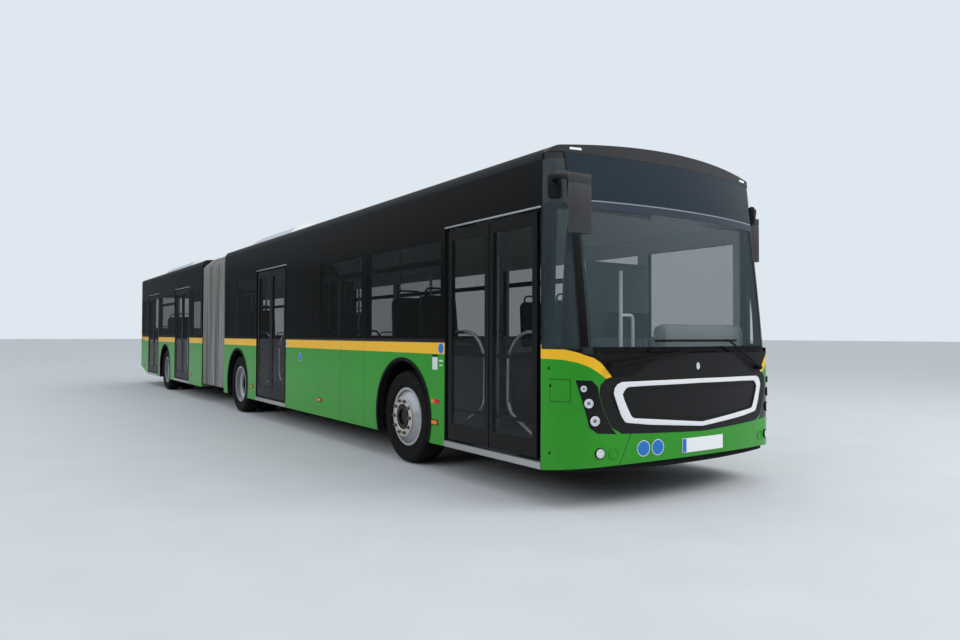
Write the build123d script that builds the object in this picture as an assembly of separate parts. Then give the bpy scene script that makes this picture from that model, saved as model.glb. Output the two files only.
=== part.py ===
from build123d import *
import os
from math import asin, atan2, cos, pi, sin, sqrt

# Articulated low-floor city bus, 18 m class, in millimetres.
# +X is forward, +Y is the bus's left, +Z is up and the ground is z = 0.
# Lengths along the bus are written from the first axle; everything is moved at the end so that
# the origin lies under the middle of the whole bus.

# Overall body
WIDTH = 2550.0
SKIRT_Z = 280.0            # lower edge of the side panels
BELT_Z = 1250.0            # lower edge of the glass band
CANTRAIL_Z = 2700.0        # top of the glass band, where the roof's side radius starts
CROWN_RISE = 170.0         # roof crown above the cantrail
ROOF_SIDE_R = 110.0
WALL_T = 60.0
GLASS_T = 6.0
GAP = 0.3                  # seat gap between pieces that move, or are bonded, side by side

# Stations along the bus, from axle 1
AXLE_2_X = -5900.0
AXLE_3_X = -11890.0
FRONT_WALL_END_X = 2262.0  # side panels end here and the front mask begins
FRONT_SECTION_END_X = -6730.0
REAR_SECTION_END_X = -8360.0
TAIL_START_X = -14950.0
TAIL_DEPTH = 380.0         # bulge of the tail behind the side panels
PIVOT_X = -7550.0

# Floor and underframe
FLOOR_TOP_Z = 335.0
FLOOR_T = 50.0
RAIL_H = 50.0
RAIL_W = 80.0
RAIL_Y = 440.0

# Wheels: 275/70 R 22.5 on 7.5 inch rims
TYRE_R = 478.0
TYRE_W = 276.0
TYRE_SIDES = 48
RIM_SEAT_R = 286.0
RIM_W = 210.0
WHEEL_FACE_Y = 1238.0      # outer sidewall of the outer tyre
TWIN_PITCH = 325.0
ARCH_R = 565.0
ARCH_Z = 500.0
WHEEL_BOX_HALF_L = 600.0
STEERED_BOX_IN_Y = 590.0
TWIN_BOX_IN_Y = 480.0
WHEEL_BOX_TOP_Z = 1110.0
WHEEL_BOX_T = 20.0

# Steering
KINGPIN_Y = 960.0
KINGPIN_R = 30.0
SPINDLE_R = 45.0

# Nose, as seen from above: a shallow front arc between two corner arcs
NOSE_X = 2770.0
NOSE_R = 4600.0
NOSE_CORNER_R = 350.0
NOSE_RISE = 72.0           # how much the mask's lower edge climbs towards the centre
MASK_T = 25.0
SCREEN_Z = 1180.0          # lower edge of the windscreen
SCREEN_SETBACK = 30.0
SCREEN_TOP_Z = 2755.0
SCREEN_LEAN = 0.135        # backward run for each unit of height
SCREEN_TOP_CORNER_R = 150.0
SCREEN_EDGE_Y = 1140.0     # joint between the windscreen and the quarter panes
QUARTER_Z = 1216.0         # lower edge of the quarter panes, on the mask's raised corners
CAP_TOP_Z = 2800.0
NOSE_BACK = 300.0          # how far the nose sections run back before they are cut at the walls

# Doors: (name, rear edge x, front edge x) of each portal
DOORS = [
    ("door_1", 830.0, 2255.0),
    ("door_2", -4880.0, -3510.0),
    ("door_3", -10850.0, -9435.0),
    ("door_4", -14030.0, -12680.0),
]
DUCT_Z = 2380.0            # underside of the air ducts, over the doors
TRACK_T = 8.0              # top of the guide channel under the duct, then its depth
TRACK_H = 52.0
TRACK_Z = (DUCT_Z - TRACK_T - TRACK_H, DUCT_Z - TRACK_T)
TRACK_LIP = 8.0
DOOR_RECESS = 7.0
LEAF_T = 36.0
LEAF_BOTTOM_Z = FLOOR_TOP_Z + 24.0
LEAF_TOP_Z = TRACK_Z[0] - 20.0
DOOR_HEADER_Z = LEAF_TOP_Z + 26.0
COLUMN_R = 15.0
COLUMN_INSET = 75.0        # column axis behind the leaf's outer face
COLUMN_TO_JAMB = 21.0
COLUMN_TO_LEAF = 36.0
LEAF_MEETING_GAP = 12.0
LEAF_OVERHANG = 25.0       # leaf beyond its guide roller
ARM_T = 12.0
ARM_GAP = 6.0
ARM_W = 36.0
DOOR_PIN_R = 9.0
DOOR_PIN_CLEAR = 1.0

HALF = WIDTH / 2
ROOF_TOP_Z = CANTRAIL_Z + CROWN_RISE
INNER_Y = HALF - WALL_T
FLOOR_Z = FLOOR_TOP_Z - FLOOR_T
RAIL_Z = FLOOR_Z - RAIL_H
AXLES = [("1", 0.0, False), ("2", AXLE_2_X, True), ("3", AXLE_3_X, True)]
MIRROR_FRONT_X = 2960.0    # front of the right mirror, the foremost piece
TAIL_END_X = TAIL_START_X - TAIL_DEPTH
MIDDLE_X = (MIRROR_FRONT_X + TAIL_END_X) / 2

os.makedirs("parts", exist_ok=True)


def save(node, *solids):
    """Write one node, with its solids moved so that the bus's middle is the origin."""
    moved = [Pos(-MIDDLE_X, 0, 0) * solid for item in solids for solid in item.solids()]
    shape = moved[0] if len(moved) == 1 else Compound(children=moved)
    export_step(shape, f"parts/{node}.step")


def block(x0, x1, y0, y1, z0, z1):
    """Box between two corners."""
    return Pos((x0 + x1) / 2, (y0 + y1) / 2, (z0 + z1) / 2) * Box(x1 - x0, y1 - y0, z1 - z0)


def upright(x, y, z0, z1, radius):
    """Vertical round bar."""
    return Pos(x, y, (z0 + z1) / 2) * Cylinder(radius, z1 - z0)


def crossbar(x, y0, y1, z, radius):
    """Round bar across the bus."""
    return Pos(x, (y0 + y1) / 2, z) * Rot(90, 0, 0) * Cylinder(radius, y1 - y0)


def longbar(x0, x1, y, z, radius):
    """Round bar along the bus."""
    return Pos((x0 + x1) / 2, y, z) * Rot(0, 90, 0) * Cylinder(radius, x1 - x0)


def bar_between(start, end, radius):
    """Round bar between two points, with a ball at its end."""
    run = Vector(*end) - Vector(*start)
    bar = Plane(origin=start, z_dir=run) * Pos(0, 0, run.length / 2) * Cylinder(radius, run.length)
    return bar + Pos(*end) * Sphere(radius)


def side_sheet(face, y0, y1):
    """Extrude a face drawn in side view (x, z) from y0 to y1."""
    return Pos(0, y1, 0) * extrude(Plane.XZ * face, y1 - y0, dir=(0, -1, 0))


def front_sheet(face, x0, x1):
    """Extrude a face drawn in front view (y, z) from x0 to x1."""
    return Pos(x0, 0, 0) * extrude(Plane.YZ * face, x1 - x0, dir=(1, 0, 0))


def rect(x0, x1, z0, z1):
    """Rectangle between two corners, as a flat face."""
    return Pos((x0 + x1) / 2, (z0 + z1) / 2) * Rectangle(x1 - x0, z1 - z0)


def both_sides(shape):
    """A piece and its mirror image across the bus's middle plane."""
    return [shape, mirror(shape, about=Plane.XZ)]


# Side walls

WINDOW_Z = (1310.0, 2230.0)
# glass band of each wall: joints between panes, as x of the pane's rear and front edges
PANE_GAP = 8.0
FRONT_RIGHT_PANES = [(-6722.0, -4888.0), (-3502.0, -2320.0), (-2312.0, -925.0), (-917.0, 822.0)]
FRONT_LEFT_PANES = [(-6722.0, -4900.0), (-4892.0, -3200.0), (-3192.0, -1700.0), (-1692.0, -200.0),
                    (-192.0, 1000.0), (1008.0, 2254.0)]
REAR_RIGHT_PANES = [(-14942.0, -14038.0), (-12672.0, -10858.0), (-9427.0, -8368.0)]
REAR_LEFT_PANES = [(-13150.0, -11700.0), (-11692.0, -10050.0), (-10042.0, -8368.0)]
WINDOW_MARGIN = 70.0       # pillar width behind each pane edge
TAIL_RAMP_Z = 450.0        # skirt height at the rear corner
# rubber lips pushed over the arches' edges: width, reach into the arch, height over the wall
LIP_W = 26.0
LIP_IN = 8.0
LIP_PROUD = 8.0


def arch_lip(axle_x):
    """Lip of one wheel arch, left side."""
    ring = Circle(ARCH_R + LIP_W) - Circle(ARCH_R - LIP_IN)
    ring = (Pos(axle_x, ARCH_Z) * ring) & rect(axle_x - 2 * ARCH_R, axle_x + 2 * ARCH_R, SKIRT_Z, ARCH_Z + 2 * ARCH_R)
    return side_sheet(ring, HALF - WALL_T / 3, HALF + LIP_PROUD)


def side_wall(side, x_rear, x_front, panes, doors, axles):
    """Side wall with its glass recess, windows, door portals and wheel arches cut."""
    face = rect(x_rear, x_front, SKIRT_Z, CANTRAIL_Z)
    for rear, front in panes:
        face -= rect(rear + WINDOW_MARGIN, front - WINDOW_MARGIN, *WINDOW_Z)
    for _, rear, front in doors:
        face -= rect(rear, front, FLOOR_TOP_Z, DOOR_HEADER_Z)
    for axle_x in axles:
        face -= Pos(axle_x, ARCH_Z) * Circle(ARCH_R)
    wall = side_sheet(face, INNER_Y, HALF)
    for rear, front in panes:
        wall -= block(rear, front, HALF - GLASS_T, HALF + 1, BELT_Z, CANTRAIL_Z + 1)
    for _, rear, front in doors:
        wall -= block(rear, front, HALF - GLASS_T, HALF + 1, DOOR_HEADER_Z - 1, CANTRAIL_Z + 1)
    for axle_x in axles:
        wall += arch_lip(axle_x)
    return wall if side > 0 else mirror(wall, about=Plane.XZ)


def side_glass(side, panes, doors):
    """Bonded panes of one wall, with the dark fascia panels above its doors."""
    pieces = [block(rear, front, HALF - GLASS_T, HALF, BELT_Z, CANTRAIL_Z) for rear, front in panes]
    for _, rear, front in doors:
        pieces.append(block(rear, front, HALF - GLASS_T, HALF, DOOR_HEADER_Z, CANTRAIL_Z))
    return [p if side > 0 else mirror(p, about=Plane.XZ) for p in pieces]


front_doors = DOORS[:2]
rear_doors = DOORS[2:]
tail_cut = side_sheet(
    Polygon((TAIL_START_X - 1, SKIRT_Z - 1), (DOORS[3][1] - 40, SKIRT_Z - 1), (TAIL_START_X - 1, TAIL_RAMP_Z),
            align=None), -HALF - 1, HALF + 1)
save("front_walls",
     side_wall(-1, FRONT_SECTION_END_X, FRONT_WALL_END_X, FRONT_RIGHT_PANES, front_doors, [0.0, AXLE_2_X]),
     side_wall(1, FRONT_SECTION_END_X, FRONT_WALL_END_X, FRONT_LEFT_PANES, [], [0.0, AXLE_2_X]))
save("rear_walls",
     side_wall(-1, TAIL_START_X, REAR_SECTION_END_X, REAR_RIGHT_PANES, rear_doors, [AXLE_3_X]) - tail_cut,
     side_wall(1, TAIL_START_X, REAR_SECTION_END_X, REAR_LEFT_PANES, [], [AXLE_3_X]) - tail_cut)
save("front_side_glass", *side_glass(-1, FRONT_RIGHT_PANES, front_doors), *side_glass(1, FRONT_LEFT_PANES, []))


# Roofs: an arched shell with the air ducts along both sides

ROOF_T = 60.0
DUCT_IN_Y = 1090.0
DUCT_CEILING_Y = 760.0
CROWN_R = ((HALF - ROOF_SIDE_R) ** 2 + CROWN_RISE ** 2 - ROOF_SIDE_R ** 2) / (2 * (CROWN_RISE - ROOF_SIDE_R))


def roof_outline():
    """Half-round roof profile above the cantrail, as edges from right to left."""
    corner_y = HALF - ROOF_SIDE_R
    lean = atan2(corner_y, CROWN_R - CROWN_RISE)
    tangent = (corner_y + ROOF_SIDE_R * sin(lean), CANTRAIL_Z + ROOF_SIDE_R * cos(lean))
    middle = (corner_y + ROOF_SIDE_R * cos((pi / 2 - lean) / 2), CANTRAIL_Z + ROOF_SIDE_R * sin((pi / 2 - lean) / 2))
    return [
        ThreePointArc((HALF, CANTRAIL_Z), middle, tangent),
        ThreePointArc(tangent, (0, ROOF_TOP_Z), (-tangent[0], tangent[1])),
        ThreePointArc((-tangent[0], tangent[1]), (-middle[0], middle[1]), (-HALF, CANTRAIL_Z)),
    ]


def roof_face(with_ducts=True):
    """Roof section: outer arch, flat ceiling and the two duct coves."""
    ceiling_z = ROOF_TOP_Z - 2 * ROOF_T
    inner = [(-HALF, CANTRAIL_Z)]
    if with_ducts:
        inner += [(-INNER_Y, CANTRAIL_Z), (-INNER_Y, DUCT_Z), (-DUCT_IN_Y, DUCT_Z), (-DUCT_CEILING_Y, ceiling_z)]
        inner += [(-y, z) for y, z in reversed(inner[1:])]
    inner.append((HALF, CANTRAIL_Z))
    return make_face(roof_outline() + [Polyline(*inner)])


# roof hatches: half length, half width, height over the crown, and where their middles lie
HATCH = (330.0, 390.0, 45.0)
HATCH_SLOPE = 25.0
FRONT_HATCHES = [-300.0, -2500.0]
REAR_HATCHES = [-9300.0]


def roof(x_rear, x_front, hatches):
    """Roof shell of one section with its hatch lids."""
    shell_part = front_sheet(roof_face(), x_rear, x_front)
    half_l, half_w, height = HATCH
    for x in hatches:
        top = Pos(x, 0, ROOF_TOP_Z + height) * Rectangle(2 * (half_l - HATCH_SLOPE), 2 * (half_w - HATCH_SLOPE))
        foot = Pos(x, 0, ROOF_TOP_Z - ROOF_T) * Rectangle(2 * half_l, 2 * half_w)
        shell_part += loft([foot, top], ruled=True)
    return shell_part


save("front_roof", roof(FRONT_SECTION_END_X, FRONT_WALL_END_X, FRONT_HATCHES))
save("rear_roof", roof(TAIL_START_X, REAR_SECTION_END_X, REAR_HATCHES))


# Nose: mask, grille, headlamp pods, front frame, windscreen


def nose_line(nose_x, corner_r, inset, x_rear):
    """Edges of the nose's outline seen from above, set in by inset, from right rear to left rear."""
    half = HALF - inset
    big_r = NOSE_R - inset
    small_r = corner_r - inset
    centre_x = nose_x - NOSE_R
    corner_y = HALF - corner_r
    corner_x = centre_x + sqrt((NOSE_R - corner_r) ** 2 - corner_y ** 2)
    turn = atan2(corner_y, corner_x - centre_x)
    tangent = (centre_x + big_r * cos(turn), big_r * sin(turn))
    half_turn = (turn + pi / 2) / 2
    bend = (corner_x + small_r * cos(half_turn), corner_y + small_r * sin(half_turn))
    return [
        Line((x_rear, -half), (corner_x, -half)),
        ThreePointArc((corner_x, -half), (bend[0], -bend[1]), (tangent[0], -tangent[1])),
        ThreePointArc((tangent[0], -tangent[1]), (nose_x - inset, 0), tangent),
        ThreePointArc(tangent, bend, (corner_x, half)),
        Line((corner_x, half), (x_rear, half)),
    ]


def nose_face(nose_x, corner_r, inset, x_rear):
    """Closed outline of the nose."""
    edges = nose_line(nose_x, corner_r, inset, x_rear)
    half = HALF - inset
    return make_face(edges + [Line((x_rear, half), (x_rear, -half))])


def rise(face, z0, z1):
    """Extrude a face drawn from above (x, y) from z0 up to z1."""
    return Pos(0, 0, z0) * extrude(face, z1 - z0, dir=(0, 0, 1))


def upper_nose(inset, z0, z1, x_cut=FRONT_WALL_END_X):
    """Solid of the nose above the mask, leaning back, with sharper corners towards the roof."""
    sections = []
    for z in (z0, z1):
        share = (z - SCREEN_Z) / (CAP_TOP_Z - SCREEN_Z)
        corner_r = NOSE_CORNER_R + (SCREEN_TOP_CORNER_R - NOSE_CORNER_R) * share
        nose_x = NOSE_X - SCREEN_SETBACK - SCREEN_LEAN * (z - SCREEN_Z)
        sections.append(Pos(0, 0, z) * nose_face(nose_x, corner_r, inset, FRONT_WALL_END_X - NOSE_BACK))
    behind = block(FRONT_WALL_END_X - NOSE_BACK - 1, x_cut, -HALF - 1, HALF + 1, z0 - 1, z1 + 1)
    return loft(sections, ruled=True) - behind


def mask_shell(inset, thickness, z0, z1):
    """Upright shell that follows the nose's outline."""
    outer = nose_face(NOSE_X, NOSE_CORNER_R, inset, FRONT_WALL_END_X)
    inner = nose_face(NOSE_X, NOSE_CORNER_R, inset + thickness, FRONT_WALL_END_X - 1)
    return rise(outer - inner, z0, z1)


NOSE_CUT_X = NOSE_X - 500.0
nose_rise_cut = side_sheet(
    Polygon((FRONT_WALL_END_X, SKIRT_Z - 1), (NOSE_X + 10, SKIRT_Z - 1), (NOSE_X + 10, SKIRT_Z + NOSE_RISE),
            align=None), -HALF - 1, HALF + 1)
# black panel outline in front view, right half: (y, z)
PANEL_HALF = [(0, 545), (-836, 574), (-925, 624), (-1002, 770), (-1034, 884), (-1023, 951), (-976, 995),
              (-925, 1010), (-968, 1061), (-1017, 1116), (-1072, 1153), (-1149, SCREEN_Z + 1)]
# headlamp pod outline in front view: (y, z)
POD = [(-1184, 987), (-1085, 984), (-1040, 933), (-1036, 884), (-1004, 770), (-927, 624), (-885, 574),
       (-1047, 586), (-1101, 627)]


def mirrored(half):
    """Closed face from the right half of its outline, in front view."""
    return Polygon(*(half + [(-y, z) for y, z in reversed(half) if y]), align=None)


panel_face = mirrored(PANEL_HALF)
pod_face = Polygon(*POD, align=None)
# raised ring on the panel, right half of its outer and inner outline: (y, z)
RING_PROUD = 8.0
RING_OUT = [(0, 961), (-820, 961), (-893, 934), (-930, 886), (-905, 820), (-838, 700), (-795, 663), (0, 590)]
RING_IN = [(0, 915), (-765, 915), (-806, 906), (-828, 876), (-812, 840), (-755, 733), (-722, 700), (0, 642)]
shell = mask_shell(0, MASK_T, SKIRT_Z, SCREEN_Z) - nose_rise_cut
panel_cut = front_sheet(panel_face, NOSE_CUT_X, NOSE_X + 10)
pod_cuts = both_sides(front_sheet(pod_face, NOSE_CUT_X, NOSE_X + 10))
mask = shell - panel_cut
for cut in pod_cuts:
    mask -= cut
ring = front_sheet(mirrored(RING_OUT) - mirrored(RING_IN), NOSE_CUT_X, NOSE_X + RING_PROUD + 1)
ring_zone = mask_shell(-RING_PROUD, RING_PROUD + MASK_T / 2, RING_OUT[-1][1] - 1, RING_OUT[0][1] + 1)
save("grille", (shell & panel_cut) + (ring & ring_zone))

# headlamps: (y, z, radius) of the lenses in the left pod, then the fog lamp below it
POD_LENSES = [(1139.0, 923.0, 30.0), (1108.0, 813.0, 40.0), (1067.0, 681.0, 43.0)]
FOG_LAMP = (1028.0, 437.0, 40.0)
LENS_PROUD = 5.0


def nose_lens(y, z, radius, depth):
    """Round lamp standing square to the nose's corner, left side, sunk by depth."""
    corner_x = NOSE_X - NOSE_R + sqrt((NOSE_R - NOSE_CORNER_R) ** 2 - (HALF - NOSE_CORNER_R) ** 2)
    turn = asin((y - HALF + NOSE_CORNER_R) / NOSE_CORNER_R)
    base = (corner_x + NOSE_CORNER_R * cos(turn), y, z)
    face = Plane(origin=base, x_dir=(0, 0, 1), z_dir=(cos(turn), sin(turn), 0))
    return face * Pos(0, 0, (LENS_PROUD - depth) / 2) * Cylinder(radius, LENS_PROUD + depth)


left_pod = (shell & pod_cuts[1]) - panel_cut
for y, z, radius in POD_LENSES:
    left_pod += nose_lens(y, z, radius, MASK_T / 2)
fog = nose_lens(*FOG_LAMP, MASK_T)
mask -= fog
mask -= both_sides(fog)[1]
# raised corners beside the windscreen, in front of the frame's foot
corner = rise(nose_face(NOSE_X, NOSE_CORNER_R, 0, FRONT_WALL_END_X), SCREEN_Z, QUARTER_Z)
corner -= upper_nose(GLASS_T - GAP, SCREEN_Z, QUARTER_Z)
corner &= block(FRONT_WALL_END_X, NOSE_X, SCREEN_EDGE_Y + PANE_GAP, HALF + 1, SCREEN_Z - 1, QUARTER_Z + 1)
for solid in both_sides(corner):
    mask += solid
save("front_mask", mask)
save("front_lamps", *both_sides(left_pod), *both_sides(fog))

# Front frame: the posts and header that carry the windscreen, with the roof's cap
FRAME_T = 54.0
SCREEN_OPENING = (1055.0, 1215.0, 2330.0)     # half width, lower and upper edge
QUARTER_OPENING = (2345.0, 2440.0, QUARTER_Z + 35.0, 2300.0)
SIGN_Z = 2340.0            # underside of the destination sign's case
FRAME_TOP_Y = HALF - 20.0  # half width of the frame above the cantrail, inside the roof's radius
roof_block = front_sheet(
    make_face(roof_outline() + [Polyline((-HALF, CANTRAIL_Z), (-HALF, SCREEN_Z), (HALF, SCREEN_Z),
                                         (HALF, CANTRAIL_Z))]),
    FRONT_WALL_END_X, NOSE_X)
half_screen, screen_low, screen_high = SCREEN_OPENING
quarter_x0, quarter_x1, quarter_z0, quarter_z1 = QUARTER_OPENING
frame = upper_nose(GLASS_T, SCREEN_Z, SCREEN_TOP_Z)
frame -= upper_nose(GLASS_T + FRAME_T, SCREEN_Z - 1, SIGN_Z, FRONT_WALL_END_X - 50)
frame -= front_sheet(rect(-half_screen, half_screen, screen_low, screen_high), NOSE_CUT_X + 60, NOSE_X)
for side in (-1, 1):
    y0, y1 = sorted((side * 900, side * (HALF + 5)))
    frame -= block(quarter_x0, quarter_x1, y0, y1, quarter_z0, quarter_z1)
    y0, y1 = sorted((side * FRAME_TOP_Y, side * HALF))
    frame -= block(FRONT_WALL_END_X - 1, NOSE_X, y0, y1, CANTRAIL_Z, SCREEN_TOP_Z + 1)
cap = upper_nose(0, SCREEN_TOP_Z, ROOF_TOP_Z + 1)
save("front_frame", frame + (cap & roof_block))

glass_shell = upper_nose(0, SCREEN_Z, SCREEN_TOP_Z) - upper_nose(GLASS_T, SCREEN_Z, SCREEN_TOP_Z)
windscreen = glass_shell & block(FRONT_WALL_END_X, NOSE_X, -SCREEN_EDGE_Y, SCREEN_EDGE_Y, SCREEN_Z, SCREEN_TOP_Z)
quarter = glass_shell & block(FRONT_WALL_END_X, NOSE_X, SCREEN_EDGE_Y + PANE_GAP, HALF, QUARTER_Z + GAP, CANTRAIL_Z)
save("windscreen", windscreen, *both_sides(quarter))


# Floors with the wheel boxes over the wheels


def floor_deck(x_rear, x_front, axles):
    """Floor plate between the walls, open under the wheel boxes that stand on it."""
    deck = block(x_rear, x_front, -INNER_Y, INNER_Y, FLOOR_Z, FLOOR_TOP_Z)
    for _, axle_x, twin in axles:
        box_in_y = TWIN_BOX_IN_Y if twin else STEERED_BOX_IN_Y
        for side in (-1, 1):
            y0, y1 = sorted((side * box_in_y, side * INNER_Y))
            x0, x1 = axle_x - WHEEL_BOX_HALF_L, axle_x + WHEEL_BOX_HALF_L
            deck += block(x0, x1, y0, y1, FLOOR_Z, WHEEL_BOX_TOP_Z)
            inner_y = side * (box_in_y + WHEEL_BOX_T)
            y0, y1 = sorted((inner_y, side * (INNER_Y + 1)))
            deck -= block(x0 + WHEEL_BOX_T, x1 - WHEEL_BOX_T, y0, y1, FLOOR_Z - 1, WHEEL_BOX_TOP_Z - WHEEL_BOX_T)
    return deck


# cabinet that closes the engine off from the saloon, in the rear left corner
ENGINE_BAY = (-14900.0, -13250.0, 240.0, 1215.0, FLOOR_TOP_Z, DUCT_Z)
BAY_T = 30.0
# podium under the rear seats: x of its step, height of its top
PODIUM_X = -14100.0
PODIUM_Z = 530.0
PODIUM_T = 50.0
podium = block(TAIL_START_X, PODIUM_X, -INNER_Y, ENGINE_BAY[2], PODIUM_Z - PODIUM_T, PODIUM_Z)
podium += block(PODIUM_X - BAY_T, PODIUM_X, -INNER_Y, ENGINE_BAY[2], FLOOR_TOP_Z - 1, PODIUM_Z)
bay = block(*ENGINE_BAY)
bay -= block(ENGINE_BAY[0] - 1, ENGINE_BAY[1] - BAY_T, ENGINE_BAY[2] + BAY_T, ENGINE_BAY[3] + 1,
             FLOOR_TOP_Z - 1, ENGINE_BAY[5] - BAY_T)
save("front_floor", floor_deck(FRONT_SECTION_END_X, FRONT_WALL_END_X, AXLES[:2]))
save("rear_floor", floor_deck(TAIL_START_X, REAR_SECTION_END_X, AXLES[2:]) + bay + podium - tail_cut)


# Underframes, the turntable and the bellows

TURNTABLE_R = 420.0
TURNTABLE_ARM_W = 760.0
DECK_R = 820.0
TURNTABLE_LOW_Z = 205.0
TURNTABLE_SPLIT_Z = 270.0
PIVOT_PIN_R = 90.0


def underframe(x_rear, x_front):
    """Two longitudinal members under a floor, tied by cross members."""
    members = [block(x_rear, x_front, y - RAIL_W / 2, y + RAIL_W / 2, RAIL_Z, FLOOR_Z) for y in (-RAIL_Y, RAIL_Y)]
    frame_part = members[0] + members[1]
    count = int((x_front - x_rear) // 1100)
    step = (x_front - x_rear - RAIL_W) / count
    for index in range(count + 1):
        x = x_rear + index * step
        frame_part += block(x, x + RAIL_W, -RAIL_Y, RAIL_Y, RAIL_Z, FLOOR_Z)
    return frame_part


turntable_base = block(PIVOT_X, FRONT_SECTION_END_X + 200, -TURNTABLE_ARM_W / 2, TURNTABLE_ARM_W / 2,
                       TURNTABLE_LOW_Z, RAIL_Z)
turntable_base += upright(PIVOT_X, 0, TURNTABLE_LOW_Z, TURNTABLE_SPLIT_Z, TURNTABLE_R)
turntable_base -= upright(PIVOT_X, 0, TURNTABLE_LOW_Z - 1, TURNTABLE_SPLIT_Z + 1, PIVOT_PIN_R + GAP)
save("front_underframe", underframe(FRONT_SECTION_END_X, 2100.0) + turntable_base)

turntable_plate = upright(PIVOT_X, 0, TURNTABLE_SPLIT_Z + GAP, FLOOR_TOP_Z, DECK_R)
turntable_plate += block(REAR_SECTION_END_X - 200, PIVOT_X, -TURNTABLE_ARM_W / 2, TURNTABLE_ARM_W / 2,
                         TURNTABLE_SPLIT_Z + GAP, FLOOR_Z)
turntable_plate -= block(PIVOT_X - DECK_R - 1, REAR_SECTION_END_X, -DECK_R, DECK_R, FLOOR_Z, FLOOR_TOP_Z + 1)
turntable_plate += upright(PIVOT_X, 0, TURNTABLE_LOW_Z, TURNTABLE_SPLIT_Z + 5, PIVOT_PIN_R)
REAR_FRAME_X = -14000.0    # the rear members climb behind this, as the tail's underside does
CLIMB_X = -14900.0
CLIMB = 154.0
rear_frame = underframe(REAR_FRAME_X, REAR_SECTION_END_X)
climb_face = Polygon((REAR_FRAME_X + 1, RAIL_Z), (REAR_FRAME_X + 1, FLOOR_Z), (REAR_FRAME_X - 102, FLOOR_Z),
                     (CLIMB_X, FLOOR_Z + CLIMB), (CLIMB_X, RAIL_Z + CLIMB), align=None)
for rail_y in (-RAIL_Y, RAIL_Y):
    rear_frame += side_sheet(climb_face, rail_y - RAIL_W / 2, rail_y + RAIL_W / 2)
rear_frame += block(CLIMB_X, CLIMB_X + RAIL_W, -RAIL_Y, RAIL_Y, RAIL_Z + CLIMB, FLOOR_Z + CLIMB - 16)
save("rear_underframe", rear_frame + turntable_plate)

BELLOWS_OUT_Y = 1255.0
BELLOWS_Z = (350.0, 2810.0)
BELLOWS_T = 12.0
BELLOWS_CORNER = 170.0     # how much the upper corners are cut back
FOLDS = 22
FOLD_DEPTH = 50.0
BELLOWS_X = (REAR_SECTION_END_X + GAP, FRONT_SECTION_END_X)


def fold_line(reach):
    """Zigzag of the folds along the bus, with its crests at reach."""
    step = (BELLOWS_X[1] - BELLOWS_X[0]) / (2 * FOLDS)
    return [(BELLOWS_X[0] + index * step, reach - FOLD_DEPTH * (index % 2)) for index in range(2 * FOLDS + 1)]


def folded_hood(inset, base_z):
    """Solid under the bellows' sides, roof and slanted corners, all folded, set in by inset."""
    crests = fold_line(BELLOWS_OUT_Y - inset)
    hood = rise(Polygon(*(crests + [(x, -y) for x, y in reversed(crests)]), align=None), base_z, BELLOWS_Z[1])
    reaches = [(0, BELLOWS_Z[1] - inset)]
    slant = (BELLOWS_OUT_Y + BELLOWS_Z[1] - BELLOWS_CORNER) / sqrt(2) - inset
    reaches += [(-45, slant), (45, slant)]
    for turn, reach in reaches:
        face = Polygon(*(fold_line(reach) + [(BELLOWS_X[1], -2 * WIDTH), (BELLOWS_X[0], -2 * WIDTH)]), align=None)
        hood &= Rot(turn, 0, 0) * side_sheet(face, -2 * WIDTH, 2 * WIDTH)
    return hood


save("bellows", folded_hood(0, BELLOWS_Z[0]) - folded_hood(BELLOWS_T, BELLOWS_Z[0] - 1))


# Tail: the rounded rear panel with its rear window opening

TAIL_R = 2600.0
TAIL_T = 45.0
TAIL_CORNER_R = 200.0
TAIL_WINDOW = (950.0, 1500.0, 2350.0)      # half width, lower and upper edge
GROOVE_W = 9.0
GROOVE_DEPTH = 8.0
BUMPER_Z = 650.0
FLAP = (-880.0, 880.0, 690.0, 1400.0)      # engine flap: y and z of its edges
VENT = (330.0, 820.0, 800.0, 1290.0)       # radiator grille in the flap: y and z of its edges
SLAT_PITCH = 35.0
SLAT_GAP = 20.0


def tail_face(inset):
    """Outline of the tail from above: side returns, corner arcs and a shallow rear arc."""
    half = HALF - inset
    centre_x = TAIL_END_X + TAIL_R * 2
    big_r = TAIL_R * 2 - inset
    small_r = TAIL_CORNER_R - inset
    corner_y = HALF - TAIL_CORNER_R
    corner_x = centre_x - sqrt((TAIL_R * 2 - TAIL_CORNER_R) ** 2 - corner_y ** 2)
    turn = atan2(corner_y, centre_x - corner_x)
    tangent = (centre_x - big_r * cos(turn), big_r * sin(turn))
    half_turn = (turn + pi / 2) / 2
    bend = (corner_x - small_r * cos(half_turn), corner_y + small_r * sin(half_turn))
    x_front = TAIL_START_X + (1 if inset else 0)
    return make_face([
        Line((x_front, -half), (corner_x, -half)),
        ThreePointArc((corner_x, -half), (bend[0], -bend[1]), (tangent[0], -tangent[1])),
        ThreePointArc((tangent[0], -tangent[1]), (TAIL_END_X + inset, 0), tangent),
        ThreePointArc(tangent, bend, (corner_x, half)),
        Line((corner_x, half), (x_front, half)),
        Line((x_front, half), (x_front, -half)),
    ])


tail_full = rise(tail_face(0), TAIL_RAMP_Z, ROOF_TOP_Z + 1)
tail_block = front_sheet(make_face(roof_outline() + [Polyline((-HALF, CANTRAIL_Z), (-HALF, SKIRT_Z),
                                                              (HALF, SKIRT_Z), (HALF, CANTRAIL_Z))]),
                         TAIL_END_X - 1, TAIL_START_X)
tail_inner = rise(tail_face(TAIL_T), TAIL_RAMP_Z - 1, CANTRAIL_Z)
tail = (tail_full & tail_block) - tail_inner
window_half, window_low, window_high = TAIL_WINDOW
window_cut = front_sheet(rect(-window_half, window_half, window_low, window_high), TAIL_END_X - 1, TAIL_START_X)
tail -= window_cut
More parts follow.
